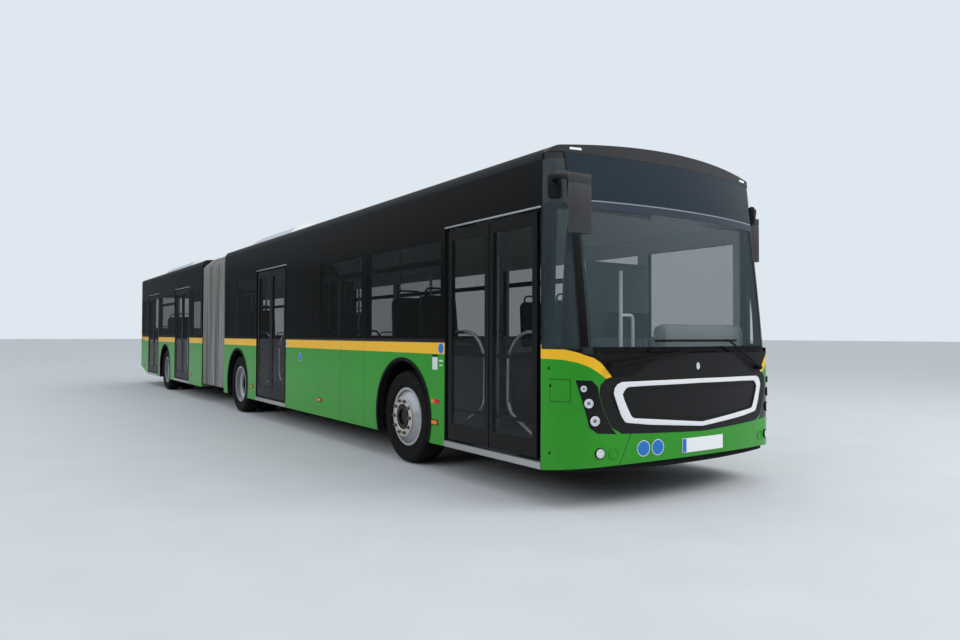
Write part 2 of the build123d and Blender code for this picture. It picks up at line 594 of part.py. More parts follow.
# joints of the bumper and the engine flap, and the radiator grille's slats
flap_y0, flap_y1, flap_z0, flap_z1 = FLAP
groove_zone = rise(tail_face(0) - tail_face(GROOVE_DEPTH), TAIL_RAMP_Z, TAIL_WINDOW[1])
flap_ring = rect(*FLAP) - rect(flap_y0 + GROOVE_W, flap_y1 - GROOVE_W, flap_z0 + GROOVE_W, flap_z1 - GROOVE_W)
tail -= groove_zone & front_sheet(flap_ring, TAIL_END_X - 1, TAIL_START_X)
tail -= groove_zone & block(TAIL_END_X - 1, TAIL_START_X, -HALF - 1, HALF + 1, BUMPER_Z, BUMPER_Z + GROOVE_W)
vent_zone = rise(tail_face(0) - tail_face(TAIL_T / 2), *VENT[2:])
slat_z = VENT[2]
while slat_z + SLAT_GAP <= VENT[3]:
    tail -= vent_zone & block(TAIL_END_X - 1, TAIL_START_X, *VENT[:2], slat_z, slat_z + SLAT_GAP)
    slat_z += SLAT_PITCH
tail_pane = rise(tail_face(TAIL_T - 20) - tail_face(TAIL_T - 20 + GLASS_T), window_low, window_high) & window_cut

save("rear_glass", *side_glass(-1, REAR_RIGHT_PANES, rear_doors), *side_glass(1, REAR_LEFT_PANES, []), tail_pane)

# Engine: one plain block in its cabinet
ENGINE = (-14800.0, -13600.0, 330.0, 1100.0, FLOOR_TOP_Z, 1500.0)
save("engine", block(*ENGINE) - tail_cut)

# Tail lamps: a column of round lamps on each rear corner, let into the tail
TAIL_LAMP_Y = 1030.0
TAIL_LAMP_R = 60.0
TAIL_LAMP_ZS = [760.0, 900.0, 1040.0, 1180.0]
TAIL_LAMP_DEPTH = 14.0
lamps = []
for lamp_z in TAIL_LAMP_ZS:
    bar = Pos(TAIL_START_X, TAIL_LAMP_Y, lamp_z) * Rot(0, -90, 0) * Cylinder(
        TAIL_LAMP_R, TAIL_DEPTH + 50, align=(Align.CENTER, Align.CENTER, Align.MIN))
    lamps += both_sides(bar)
lens_zone = (rise(tail_face(0), TAIL_RAMP_Z, BELT_Z + 50)
             - rise(tail_face(TAIL_LAMP_DEPTH), TAIL_RAMP_Z - 1, BELT_Z + 51))
lenses = [lens_zone & bar for bar in lamps]
for lens in lenses:
    tail -= lens
save("tail_panel", tail)
save("tail_lamps", *lenses)


# Axle beams, knuckles, rims and tyres

HUB_Z = TYRE_R
BEAM_Z = (140.0, 215.0)
BEAM_W = 130.0
BEAM_END_H = 120.0
POST_T = 70.0              # thickness of the beam's upright ends
STEERED_POST_Y = 830.0     # outer face of the upright, inboard of the kingpin
KNUCKLE_EYE_R = 62.0
KNUCKLE_ARM_T = 45.0
STEERED_WHEEL_Y = WHEEL_FACE_Y - TYRE_W / 2
TWIN_WHEEL_Y = WHEEL_FACE_Y - TYRE_W - (TWIN_PITCH - TYRE_W) / 2
TWIN_POST_Y = 600.0
AXLE_TUBE_R = 75.0
RIM_T = 12.0
WELL_DEPTH = 40.0
DISC_T = 14.0
DISC_OFFSET = TWIN_PITCH / 2
DISC_EDGE = 85.0
BEAD_HALF_W = RIM_W / 2 - 5
HUB_R = 115.0
HUB_END_T = 30.0
HUB_RECESS = (82.0, 18.0)  # radius and depth of the hollow in the hub's end
DISC_FLAT_R = 195.0        # flat part of the disc, under the nuts


def beam(axle_x, post_y):
    """Dropped axle beam: low under the floor, with an upright at each end."""
    x0, x1 = axle_x - BEAM_W / 2, axle_x + BEAM_W / 2
    bar = block(x0, x1, -post_y, post_y, *BEAM_Z)
    for side in (-1, 1):
        y0, y1 = sorted((side * (post_y - POST_T), side * post_y))
        bar += block(x0, x1, y0, y1, BEAM_Z[0], HUB_Z + BEAM_END_H / 2)
        pad_y = side * RAIL_Y
        bar += block(x0, x1, pad_y - RAIL_W / 2, pad_y + RAIL_W / 2, BEAM_Z[1] - 1, RAIL_Z)
    return bar


def steered_beam():
    """Front beam, with an eye at each end for the kingpin."""
    bar = beam(0.0, STEERED_POST_Y)
    for side in (-1, 1):
        y0, y1 = sorted((side * (STEERED_POST_Y - 1), side * KINGPIN_Y))
        low, high = HUB_Z - BEAM_END_H / 2, HUB_Z + BEAM_END_H / 2
        bar += block(-KNUCKLE_EYE_R + 12, KNUCKLE_EYE_R - 12, y0, y1, low, high)
        bar += upright(0, side * KINGPIN_Y, low, high, KNUCKLE_EYE_R - 12)
        bar -= upright(0, side * KINGPIN_Y, low - 1, high + 1, KINGPIN_R + GAP)
    return bar


def knuckle():
    """Left steering knuckle: a fork over the beam's eye, its kingpin and the wheel spindle."""
    low, high = HUB_Z - BEAM_END_H / 2 - GAP, HUB_Z + BEAM_END_H / 2 + GAP
    fork_out = KINGPIN_Y + KNUCKLE_EYE_R + 20
    part = upright(0, KINGPIN_Y, low - KNUCKLE_ARM_T, high + KNUCKLE_ARM_T, KINGPIN_R)
    for z0, z1 in ((low - KNUCKLE_ARM_T, low), (high, high + KNUCKLE_ARM_T)):
        part += upright(0, KINGPIN_Y, z0, z1, KNUCKLE_EYE_R)
        part += block(-KNUCKLE_EYE_R, KNUCKLE_EYE_R, KINGPIN_Y, fork_out, z0, z1)
    part += block(-KNUCKLE_EYE_R, KNUCKLE_EYE_R, KINGPIN_Y + KNUCKLE_EYE_R, fork_out,
                  low - KNUCKLE_ARM_T, high + KNUCKLE_ARM_T)
    part += crossbar(0, KINGPIN_Y + KNUCKLE_EYE_R, STEERED_WHEEL_Y + 60, HUB_Z, SPINDLE_R)
    return part


def turned(profile, axle_x, wheel_y):
    """Turn a profile of (radius, offset from the wheel's middle) about the axle line, left side."""
    face = make_face(Polyline(*[(radius, offset) for radius, offset in profile], close=True))
    ring = revolve(face, Axis.Y)
    return Pos(axle_x, wheel_y, HUB_Z) * ring


def rim(axle_x, wheel_y, way):
    """One rim, left side: barrel with flanges and a dished disc, outwards for way +1."""
    half = RIM_W / 2
    flange = RIM_SEAT_R + 14
    inside = RIM_SEAT_R - RIM_T
    well = RIM_SEAT_R - WELL_DEPTH
    barrel = [(RIM_SEAT_R, -half), (flange, -half), (flange, -half - RIM_T), (inside, -half - RIM_T),
              (inside, -50), (well - RIM_T, -20), (well - RIM_T, 20), (inside, 50),
              (inside, half + RIM_T), (flange, half + RIM_T), (flange, half), (RIM_SEAT_R, half),
              (RIM_SEAT_R, 50), (well, 20), (well, -20), (RIM_SEAT_R, -50)]
    edge_r = RIM_SEAT_R - RIM_T / 2
    disc = [(HUB_R - 5, DISC_OFFSET), (DISC_FLAT_R, DISC_OFFSET), (edge_r, DISC_EDGE), (edge_r, DISC_EDGE - DISC_T),
            (DISC_FLAT_R, DISC_OFFSET - DISC_T), (HUB_R - 5, DISC_OFFSET - DISC_T)]
    disc = [(radius, way * offset) for radius, offset in disc]
    return turned(barrel, axle_x, wheel_y) + turned(disc, axle_x, wheel_y)


def hub(axle_x, y0, y1, bore_r):
    """Hub with a bore for its spindle or axle tube, left side."""
    recess_r, recess = HUB_RECESS
    whole = crossbar(axle_x, y0, y1, HUB_Z, HUB_R) - crossbar(axle_x, y0 - 1, y1 - HUB_END_T, HUB_Z, bore_r)
    return whole - crossbar(axle_x, y1 - recess, y1 + 1, HUB_Z, recess_r)


def tyre(axle_x, wheel_y):
    """Tyre with flat facets: tread, shoulders and sidewalls, closed on its bead seat."""
    seat = (RIM_SEAT_R + GAP) / cos(pi / TYRE_SIDES)
    half = TYRE_W / 2
    rings = [(seat, -BEAD_HALF_W), (TYRE_R - 70, -half), (TYRE_R / cos(pi / TYRE_SIDES), -half + 26),
             (TYRE_R / cos(pi / TYRE_SIDES), half - 26), (TYRE_R - 70, half), (seat, BEAD_HALF_W)]
    step = 2 * pi / TYRE_SIDES

    def corner(ring, index):
        radius, offset = ring
        angle = -pi / 2 + (index + 0.5) * step
        return Vector(axle_x + radius * cos(angle), wheel_y + offset, HUB_Z + radius * sin(angle))

    faces = []
    for low, high in zip(rings, rings[1:] + rings[:1]):
        for index in range(TYRE_SIDES):
            corners = [corner(low, index), corner(high, index), corner(high, index + 1), corner(low, index + 1)]
            faces.append(Face(Wire.make_polygon(corners, close=True)))
    return Solid(Shell(faces))


def save_pair(name, left_solids):
    """Write a piece for the left side and its mirror image for the right."""
    save(f"{name}_left", *left_solids)
    save(f"{name}_right", *[mirror(solid, about=Plane.XZ) for solid in left_solids])


save("front_axles", steered_beam(), beam(AXLE_2_X, TWIN_POST_Y)
     + crossbar(AXLE_2_X, -TWIN_WHEEL_Y - 60, TWIN_WHEEL_Y + 60, HUB_Z, AXLE_TUBE_R)
     - crossbar(AXLE_2_X, -TWIN_POST_Y + POST_T, TWIN_POST_Y - POST_T, HUB_Z, AXLE_TUBE_R + 1))
save("rear_axle", beam(AXLE_3_X, TWIN_POST_Y)
     + crossbar(AXLE_3_X, -TWIN_WHEEL_Y - 60, TWIN_WHEEL_Y + 60, HUB_Z, AXLE_TUBE_R)
     - crossbar(AXLE_3_X, -TWIN_POST_Y + POST_T, TWIN_POST_Y - POST_T, HUB_Z, AXLE_TUBE_R + 1))
save_pair("knuckle", [knuckle()])
for name, axle_x, twin in AXLES:
    if twin:
        outer_y, inner_y = WHEEL_FACE_Y - TYRE_W / 2, WHEEL_FACE_Y - TYRE_W / 2 - TWIN_PITCH
        rims = (rim(axle_x, outer_y, -1) + rim(axle_x, inner_y, 1)
                + hub(axle_x, inner_y + 30, outer_y + 40, AXLE_TUBE_R + GAP))
        tyres = [tyre(axle_x, outer_y), tyre(axle_x, inner_y)]
    else:
        rims = (rim(axle_x, STEERED_WHEEL_Y, 1)
                + hub(axle_x, STEERED_WHEEL_Y - 40, STEERED_WHEEL_Y + DISC_OFFSET + 8, SPINDLE_R + GAP))
        tyres = [tyre(axle_x, STEERED_WHEEL_Y)]
    save_pair(f"rim_{name}", [rims])
    save_pair(f"tyre_{name}", tyres)


# Doors: two leaves a portal, each carried by two arms on its own turning column

ARM_LOW_Z = FLOOR_TOP_Z + ARM_GAP
ARM_HIGH_Z = LEAF_TOP_Z + ARM_GAP
DOOR_FACE_Y = -HALF + DOOR_RECESS
ROLLER_R = 12.0
TRACK_GAP = 1.5


def arm_length(portal_w):
    """Arm of a leaf: half the way from its column to its guide roller when shut."""
    return (portal_w / 2 - LEAF_MEETING_GAP / 2 - COLUMN_TO_JAMB - LEAF_OVERHANG) / 2


def door_column(portal_w):
    """Column and arms, drawn from the jamb (x = 0) and the leaf's outer face (y = 0)."""
    arm = arm_length(portal_w)
    x0 = COLUMN_TO_JAMB
    part = upright(x0, COLUMN_INSET, FLOOR_TOP_Z + GAP, DUCT_Z - GAP, COLUMN_R)
    for z0 in (ARM_LOW_Z, ARM_HIGH_Z):
        part += block(x0, x0 + arm, COLUMN_INSET - ARM_W / 2, COLUMN_INSET + ARM_W / 2, z0, z0 + ARM_T)
        part += upright(x0 + arm, COLUMN_INSET, z0, z0 + ARM_T, ARM_W / 2)
        part -= upright(x0 + arm, COLUMN_INSET, z0 - 1, z0 + ARM_T + 1, DOOR_PIN_R + DOOR_PIN_CLEAR)
    return part


LEAF_GLASS = (60.0, 60.0, 500.0, 2200.0)   # side margins, lower and upper edge of the pane
LEAF_PANE_T = 5.0
BRACKET_T = 12.0
GRAB_R = 16.0
GRAB_OFF = 45.0            # rail's axis behind the leaf
GRAB_END = 30.0            # its ends, from the leaf's edge at the jamb
GRAB_RUN = 165.0           # its upright run, from the leaf's meeting edge
GRAB_Z = (460.0, 690.0, 1350.0)    # lower end, lower bend and upper end
GRAB_BENDS = [300.0, 170.0]
STANDOFF_R = 10.0
LEAF_BARS_Z = [(620.0, 650.0), (1130.0, 1160.0)]


def grab_rail(x_end, x_run):
    """Bent rail on a leaf: from the jamb's side in a wide bend to an upright run, then down and back."""
    low, bend, high = GRAB_Z
    y = LEAF_T + GRAB_OFF
    route = FilletPolyline((x_end, y, high), (x_run, y, high), (x_run, y, bend), (x_end, y, low), radius=GRAB_BENDS)
    rail = sweep(Plane(origin=(x_end, y, high), z_dir=(1, 0, 0)) * Circle(GRAB_R), route)
    for z in (low, high):
        rail += Pos(x_end, y, z) * Sphere(GRAB_R + 3)
        rail += Pos(x_end, LEAF_T + GRAB_OFF / 2, z) * Rot(90, 0, 0) * Cylinder(STANDOFF_R, GRAB_OFF + 2)
    return rail


def door_leaf(portal_w):
    """Leaf frame with its pivot brackets, guide roller and grab rail, and its pane."""
    arm = arm_length(portal_w)
    x0 = COLUMN_TO_JAMB
    jamb, meeting = x0 + COLUMN_TO_LEAF, portal_w / 2 - LEAF_MEETING_GAP / 2
    side, _, low, high = LEAF_GLASS
    frame_part = block(jamb, meeting, 0, LEAF_T, LEAF_BOTTOM_Z, LEAF_TOP_Z)
    frame_part -= block(jamb + side, meeting - side, -1, LEAF_T + 1, low, high)
    pane = block(jamb + side + GAP, meeting - side - GAP, 4, 4 + LEAF_PANE_T, low + GAP, high - GAP)
    pivot_x, roller_x = x0 + arm, x0 + 2 * arm
    brackets = [
        (pivot_x, LEAF_BOTTOM_Z, LEAF_BOTTOM_Z + BRACKET_T, ARM_LOW_Z - 2, DOOR_PIN_R),
        (pivot_x, LEAF_TOP_Z - BRACKET_T, LEAF_TOP_Z, ARM_HIGH_Z + ARM_T + 2, DOOR_PIN_R),
        (roller_x, LEAF_TOP_Z - BRACKET_T, LEAF_TOP_Z, TRACK_Z[1] - TRACK_LIP, ROLLER_R),
    ]
    for x, z0, z1, pin_end, pin_r in brackets:
        frame_part += block(x - 25, x + 25, LEAF_T - 1, COLUMN_INSET, z0, z1)
        frame_part += upright(x, COLUMN_INSET, z0, z1, 25)
        frame_part += upright(x, COLUMN_INSET, min(z0, pin_end), max(z1, pin_end), pin_r)
    for z0, z1 in LEAF_BARS_Z:
        frame_part += block(jamb + side, meeting - side, LEAF_T - BRACKET_T, LEAF_T, z0, z1)
    return [frame_part + grab_rail(jamb + GRAB_END, meeting - GRAB_RUN), pane]


def place_leaf(shape, rear, front, leading):
    """Move a door piece to its portal; the front leaf is the rear one's mirror image."""
    if leading:
        return Pos(front, DOOR_FACE_Y, 0) * mirror(shape, about=Plane.YZ)
    return Pos(rear, DOOR_FACE_Y, 0) * shape


for name, rear, front in DOORS:
    column = door_column(front - rear)
    leaf = door_leaf(front - rear)
    for half_name, leading in (("rear", False), ("front", True)):
        save(f"{name}_{half_name}_column", place_leaf(column, rear, front, leading))
        save(f"{name}_{half_name}_leaf", *[place_leaf(solid, rear, front, leading) for solid in leaf])


def door_track(rear, front):
    """Guide channel for both rollers, hung under the air duct."""
    y = DOOR_FACE_Y + COLUMN_INSET
    wide = ROLLER_R + TRACK_GAP
    middle = (rear + front) / 2
    x0, x1 = middle - 620, middle + 620
    channel = block(x0, x1, y - wide - 5, y + wide + 5, TRACK_Z[0] + 4, DUCT_Z)
    return channel - block(x0 - 1, x1 + 1, y - wide, y + wide, TRACK_Z[0], TRACK_Z[1])


# Inside: door tracks, poles, seats, driver's place

POLE_R = 17.0
CEILING_Z = ROOF_TOP_Z - 2 * ROOF_T
# poles: (x, y) of each upright from floor to ceiling
FRONT_POLES = [(700, -560), (700, 450), (-640, -560), (-640, 560), (-1800, 450), (-3380, -520), (-5010, -520),
               (-3300, 450), (-5010, 560), (-6600, -560), (-6600, 560)]
REAR_POLES = [(-8500, -560), (-8500, 560), (-9300, -520), (-10980, -520), (-11200, 560), (-12540, -520),
              (-12800, 450)]


def poles(table, doors):
    """Uprights from floor to ceiling and the door tracks of one section."""
    pieces = [upright(x, y, FLOOR_TOP_Z, CEILING_Z, POLE_R) for x, y in table]
    pieces += [door_track(rear, front) for _, rear, front in doors]
    return pieces


save("front_rails", *poles(FRONT_POLES, front_doors))
save("rear_rails", *poles(REAR_POLES, rear_doors))

SEAT_W = 430.0
SEAT_BACK_H = 530.0
SEAT_DEPTH = 420.0
SHELL_T = 35.0
LEG_W = 160.0
# where a seat stands, and the height of its pan
ON_FLOOR = (FLOOR_TOP_Z, FLOOR_TOP_Z + 430.0)
ON_BOX = (WHEEL_BOX_TOP_Z, WHEEL_BOX_TOP_Z + 100.0)
ON_PODIUM = (PODIUM_Z, PODIUM_Z + 400.0)
# seats: (x of the back's rear face, middle y, stand, +1 faces forward or -1 backward)
FRONT_SEATS = [
    (-560, -900, ON_BOX, 1), (60, -900, ON_BOX, 1),
    (-560, 900, ON_BOX, 1), (60, 900, ON_BOX, 1),
    (-1500, -960, ON_FLOOR, 1), (-2250, -960, ON_FLOOR, 1), (-3000, -960, ON_FLOOR, 1),
    (-1500, 960, ON_FLOOR, 1), (-2250, 960, ON_FLOOR, 1), (-3000, 960, ON_FLOOR, 1),
    (-4700, 960, ON_FLOOR, 1), (-6450, -900, ON_BOX, 1), (-5800, -900, ON_BOX, 1),
    (-6450, 900, ON_BOX, 1), (-5800, 900, ON_BOX, 1),
]
REAR_SEATS = [
    (-9200, -960, ON_FLOOR, 1), (-9200, 960, ON_FLOOR, 1), (-10000, 960, ON_FLOOR, 1),
    (-12450, -900, ON_BOX, 1), (-11800, -900, ON_BOX, 1),
    (-12450, 900, ON_BOX, 1), (-11800, 900, ON_BOX, 1),
    (-14900, -700, ON_PODIUM, 1), (-14900, -220, ON_PODIUM, 1),
]


SHELL_CORNER_R = 85.0      # upper corners of a seat's back, in front view
RAKE = 60.0
LOOP_R = 11.0              # grab loop over the back: tube, half width, height, bends
LOOP_HALF = 150.0
LOOP_H = 75.0
LOOP_BEND = 55.0


def seat_shape(place):
    """Seat on the left of its pedestal's middle line: raked shell, pan, pedestal and grab loop."""
    stand, pan = place
    back = pan + SEAT_BACK_H
    outline = Polygon((0, back), (SHELL_T, back), (SHELL_T + RAKE, pan + 40), (SEAT_DEPTH, pan + 10),
                      (SEAT_DEPTH, pan - SHELL_T), (RAKE, pan - SHELL_T), (RAKE / 2, pan), align=None)
    front = Pos(0, back - SEAT_BACK_H) * RectangleRounded(SEAT_W, 2 * SEAT_BACK_H, SHELL_CORNER_R)
    shell_part = side_sheet(outline, -SEAT_W / 2, SEAT_W / 2) & front_sheet(front, -1, SEAT_DEPTH + 1)
    foot_x = (SEAT_DEPTH - LEG_W) / 2
    shell_part += block(foot_x, foot_x + LEG_W, -LEG_W / 2, LEG_W / 2, stand, pan - SHELL_T / 2)
    x, low, high = SHELL_T / 2, back - 2 * LOOP_R, back + LOOP_H
    route = FilletPolyline((x, -LOOP_HALF, low), (x, -LOOP_HALF, high), (x, LOOP_HALF, high), (x, LOOP_HALF, low),
                           radius=LOOP_BEND)
    return shell_part + sweep(Pos(x, -LOOP_HALF, low) * Circle(LOOP_R), route)


SEAT_SHAPES = {place: seat_shape(place) for place in (ON_FLOOR, ON_BOX, ON_PODIUM)}


def seat(x, y, place, way):
    """Seat at its place; way -1 turns it to face backwards."""
    return Pos(x, y, 0) * Rot(0, 0, 0 if way > 0 else 180) * SEAT_SHAPES[place]


save("front_seats", *[seat(*row) for row in FRONT_SEATS])
save("rear_seats", *[seat(*row) for row in REAR_SEATS])

# Driver's place: dashboard, steering wheel, seat and the wall behind
DASH_PROFILE = [(2060, 980), (2120, 1060), (2600, 1090), (2640, 1000), (2640, 700), (2350, 640), (2280, 900)]
DASH_Y = (-240.0, 1200.0)
DASH_CLEAR = 20.0
CONSOLE = (2090.0, 2250.0, 620.0, 760.0, FLOOR_TOP_Z, 930.0)
DRIVER_Y = 690.0
WHEEL_AT = (2020.0, DRIVER_Y, 1080.0)
WHEEL_TILT = 30.0
WHEEL_R = 215.0
WHEEL_TUBE_R = 14.0
WHEEL_HUB = (50.0, 30.0)
SPOKE_W = 40.0
WHEEL_COLUMN = (28.0, 150.0)
DRIVER_SEAT_X = 1250.0
DRIVER_SEAT_HALF_W = 250.0
DRIVER_BACK = [(0, 1560), (90, 1560), (140, 900), (560, 860), (560, 760), (60, 760), (20, 1000)]
DRIVER_PEDESTAL = (150.0, 450.0, -150.0, 150.0, FLOOR_TOP_Z, 780.0)
CAB_X = 1060.0
CAB_Y = 300.0
CAB_T = 30.0
CAB_WALL_TOP_Z = 2100.0
CAB_DOOR_END_X = 1880.0
CAB_DOOR_TOP_Z = 1300.0

dash = side_sheet(Polygon(*DASH_PROFILE, align=None), *DASH_Y)
dash &= rise(nose_face(NOSE_X, NOSE_CORNER_R, MASK_T + DASH_CLEAR, FRONT_WALL_END_X - NOSE_BACK), SKIRT_Z, BELT_Z)
wheel_place = Location(WHEEL_AT, (0, -WHEEL_TILT, 0))
steering_wheel = wheel_place * (Torus(WHEEL_R, WHEEL_TUBE_R) + Cylinder(*WHEEL_HUB)
                                + Box(2 * WHEEL_R - 10, SPOKE_W, WHEEL_TUBE_R)
                                + Box(SPOKE_W, 2 * WHEEL_R - 10, WHEEL_TUBE_R))
column_r, column_l = WHEEL_COLUMN
steering_wheel += wheel_place * Pos(0, 0, -column_l / 2 - 5) * Cylinder(column_r, column_l)
driver_seat = Pos(DRIVER_SEAT_X, DRIVER_Y, 0) * (
    side_sheet(Polygon(*DRIVER_BACK, align=None), -DRIVER_SEAT_HALF_W, DRIVER_SEAT_HALF_W) + block(*DRIVER_PEDESTAL))
cab = block(CAB_X, CAB_X + CAB_T, CAB_Y, INNER_Y, FLOOR_TOP_Z, CAB_WALL_TOP_Z)
cab += block(CAB_X + CAB_T, CAB_DOOR_END_X, CAB_Y, CAB_Y + CAB_T, FLOOR_TOP_Z, CAB_DOOR_TOP_Z)
save("driver_station", dash + block(*CONSOLE) + steering_wheel, driver_seat, cab)

# Outside fittings: mirrors, wipers, lamps and the roof's cooling units

MIRROR_OUT_Y = 1445.0
MIRROR_W = 200.0
MIRROR_L = 200.0
MIRROR_Z = (2050.0, 2480.0)
MIRROR_ROUND = 30.0
MIRROR_FOOT = (2180.0, 2250.0, HALF + GAP, HALF + 32.0, 2390.0, 2510.0)
ARM_POINTS = [(2225.0, HALF + 21.0, 2450.0), (2560.0, 1345.0, 2465.0), (2860.0, 1345.0, 2465.0)]
MIRROR_ARM_R = 20.0
# the left mirror hangs close beside the driver's window
LEFT_MIRROR_FRONT_X = 2340.0
LEFT_MIRROR_W = 155.0


def mirror_head(x_front, wide):
    """Rounded mirror shell, left side."""
    head = block(x_front - MIRROR_L, x_front, MIRROR_OUT_Y - wide, MIRROR_OUT_Y, *MIRROR_Z)
    return fillet(head.edges(), MIRROR_ROUND)


right_mirror = mirror_head(MIRROR_FRONT_X, MIRROR_W) + block(*MIRROR_FOOT)
for start, end in zip(ARM_POINTS, ARM_POINTS[1:]):
    right_mirror += bar_between(start, end, MIRROR_ARM_R)
left_mirror = mirror_head(LEFT_MIRROR_FRONT_X, LEFT_MIRROR_W) + block(*MIRROR_FOOT)
save("mirrors", left_mirror, mirror(right_mirror, about=Plane.XZ))

# Wipers: an arm and blade on each side of the screen's foot
WIPER_R = 9.0
SPINDLE_BOSS_R = 20.0
BLADE_T = 20.0
BLADE_H = 18.0
ARM_STANDOFF = 42.0
# wipers: spindle (y, z), blade holder y, blade height and blade ends y
WIPERS = [((-950.0, 1100.0), -160.0, 1196.0, (-560.0, 270.0)), ((850.0, 1045.0), 340.0, 1275.0, (-480.0, 540.0))]


def nose_surface_x(y, nose_x=NOSE_X):
    """Where the nose's outer face lies at a given distance from the middle, on its front arc."""
    return nose_x - NOSE_R + sqrt(NOSE_R ** 2 - y ** 2)


def wiper(spindle, hold_y, blade_z, ends):
    """Wiper with its spindle boss, arm and curved blade."""
    spindle_y, spindle_z = spindle
    foot_x = nose_surface_x(spindle_y)
    screen_x = NOSE_X - SCREEN_SETBACK - SCREEN_LEAN * (blade_z - SCREEN_Z)
    boss = longbar(foot_x - SPINDLE_BOSS_R, foot_x + ARM_STANDOFF + WIPER_R, spindle_y, spindle_z, SPINDLE_BOSS_R)
    boss -= rise(nose_face(NOSE_X, NOSE_CORNER_R, -GAP, FRONT_WALL_END_X), SKIRT_Z, BELT_Z)
    foot = (foot_x + ARM_STANDOFF, spindle_y, spindle_z)
    elbow = (nose_surface_x(hold_y) + ARM_STANDOFF - 10, hold_y, blade_z + BLADE_H / 2)
    hold = (nose_surface_x(hold_y, screen_x) + BLADE_T / 2, hold_y, blade_z + BLADE_H / 2)
    band = (nose_face(screen_x, NOSE_CORNER_R, -GAP - BLADE_T, 2000) - nose_face(screen_x, NOSE_CORNER_R, -GAP, 1999))
    blade = rise(band, blade_z, blade_z + BLADE_H) & block(2400, NOSE_X + 50, *ends, blade_z, blade_z + BLADE_H)
    return boss + bar_between(foot, elbow, WIPER_R) + bar_between(elbow, hold, WIPER_R) + blade


save("wipers", *[wiper(*row) for row in WIPERS])

AIR_UNIT_HALF_W = 850.0
AIR_UNIT_TOP_Z = 3050.0
AIR_UNIT_EDGE = 110.0      # slant of its upper side edges
AIR_UNIT_FOOT_Z = ROOF_TOP_Z - 150.0
FAN_R = 230.0
FAN_DEPTH = 60.0
FAN_HUB_R = 70.0
FAN_Y = 420.0
AIR_UNITS = [("front", -6600.0, -3560.0), ("rear", -14200.0, -10040.0)]
FANS_BEHIND = [900.0, 1500.0, 2100.0]      # fan axes, from the unit's rear end
roof_face_low = make_face(roof_outline() + [Line((-HALF, CANTRAIL_Z), (HALF, CANTRAIL_Z))])
side_edge = AIR_UNIT_HALF_W - AIR_UNIT_EDGE
unit_front = Polygon((-AIR_UNIT_HALF_W, AIR_UNIT_FOOT_Z), (-AIR_UNIT_HALF_W, AIR_UNIT_TOP_Z - AIR_UNIT_EDGE),
                     (-side_edge, AIR_UNIT_TOP_Z), (side_edge, AIR_UNIT_TOP_Z),
                     (AIR_UNIT_HALF_W, AIR_UNIT_TOP_Z - AIR_UNIT_EDGE), (AIR_UNIT_HALF_W, AIR_UNIT_FOOT_Z), align=None)
for name, x_rear, x_front in AIR_UNITS:
    lid = Polygon((x_rear, AIR_UNIT_FOOT_Z), (x_rear + 60, AIR_UNIT_TOP_Z - 40), (x_rear + 350, AIR_UNIT_TOP_Z),
                  (x_front - 500, AIR_UNIT_TOP_Z), (x_front - 60, AIR_UNIT_TOP_Z - 60), (x_front, AIR_UNIT_FOOT_Z),
                  align=None)
    unit = side_sheet(lid, -AIR_UNIT_HALF_W, AIR_UNIT_HALF_W) & front_sheet(unit_front, x_rear - 1, x_front + 1)
    for behind in FANS_BEHIND:
        for y in (-FAN_Y, FAN_Y):
            x = x_rear + behind
            unit -= upright(x, y, AIR_UNIT_TOP_Z - FAN_DEPTH, AIR_UNIT_TOP_Z + 1, FAN_R)
            unit += upright(x, y, AIR_UNIT_TOP_Z - FAN_DEPTH - 1, AIR_UNIT_TOP_Z - FAN_DEPTH / 2, FAN_HUB_R)
    save(f"{name}_air_unit", unit - front_sheet(roof_face_low, x_rear - 10, x_front + 10))
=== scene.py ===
import bpy
from functools import partial, reduce
from math import asin, atan2, cos, hypot, pi, radians, sin, sqrt
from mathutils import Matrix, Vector


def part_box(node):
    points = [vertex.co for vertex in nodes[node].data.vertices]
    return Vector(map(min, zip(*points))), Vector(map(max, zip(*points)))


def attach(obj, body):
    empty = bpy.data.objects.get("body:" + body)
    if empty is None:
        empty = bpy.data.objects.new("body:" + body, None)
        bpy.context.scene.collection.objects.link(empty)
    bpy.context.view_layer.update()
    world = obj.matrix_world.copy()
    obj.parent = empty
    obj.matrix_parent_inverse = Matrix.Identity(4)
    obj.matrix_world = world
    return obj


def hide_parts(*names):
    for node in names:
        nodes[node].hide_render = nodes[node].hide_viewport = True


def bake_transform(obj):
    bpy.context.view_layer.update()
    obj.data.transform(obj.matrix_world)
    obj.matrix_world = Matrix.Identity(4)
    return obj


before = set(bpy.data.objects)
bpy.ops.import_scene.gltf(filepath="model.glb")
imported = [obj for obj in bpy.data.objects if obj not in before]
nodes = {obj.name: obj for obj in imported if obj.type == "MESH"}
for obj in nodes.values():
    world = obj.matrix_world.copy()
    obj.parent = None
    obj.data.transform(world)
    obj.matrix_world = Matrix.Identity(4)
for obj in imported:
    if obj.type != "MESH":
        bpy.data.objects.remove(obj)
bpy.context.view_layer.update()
SIDES = (("left", 1), ("right", -1))


def node(tree, kind, **values):
    """Shader node with values on some of its inputs, named with a low line for each space."""
    made = tree.nodes.new("ShaderNode" + kind)
    for name, value in values.items():
        made.inputs[name.replace("_", " ")].default_value = value
    return made


def maths(tree, operation, *values):
    """Maths node in a material; numbers go on its sockets, other values are linked."""
    made = node(tree, "Math")
    made.operation = operation
    for socket, value in zip(made.inputs, values):
        if isinstance(value, (int, float)):
            socket.default_value = value
        else:
            tree.links.new(value, socket)
    return made.outputs[0]


def any_of(tree, shares):
    """Largest of several linked shares."""
    return reduce(partial(maths, tree, "MAXIMUM"), shares)


def all_of(tree, shares):
    """Product of several linked shares."""
    return reduce(partial(maths, tree, "MULTIPLY"), shares)


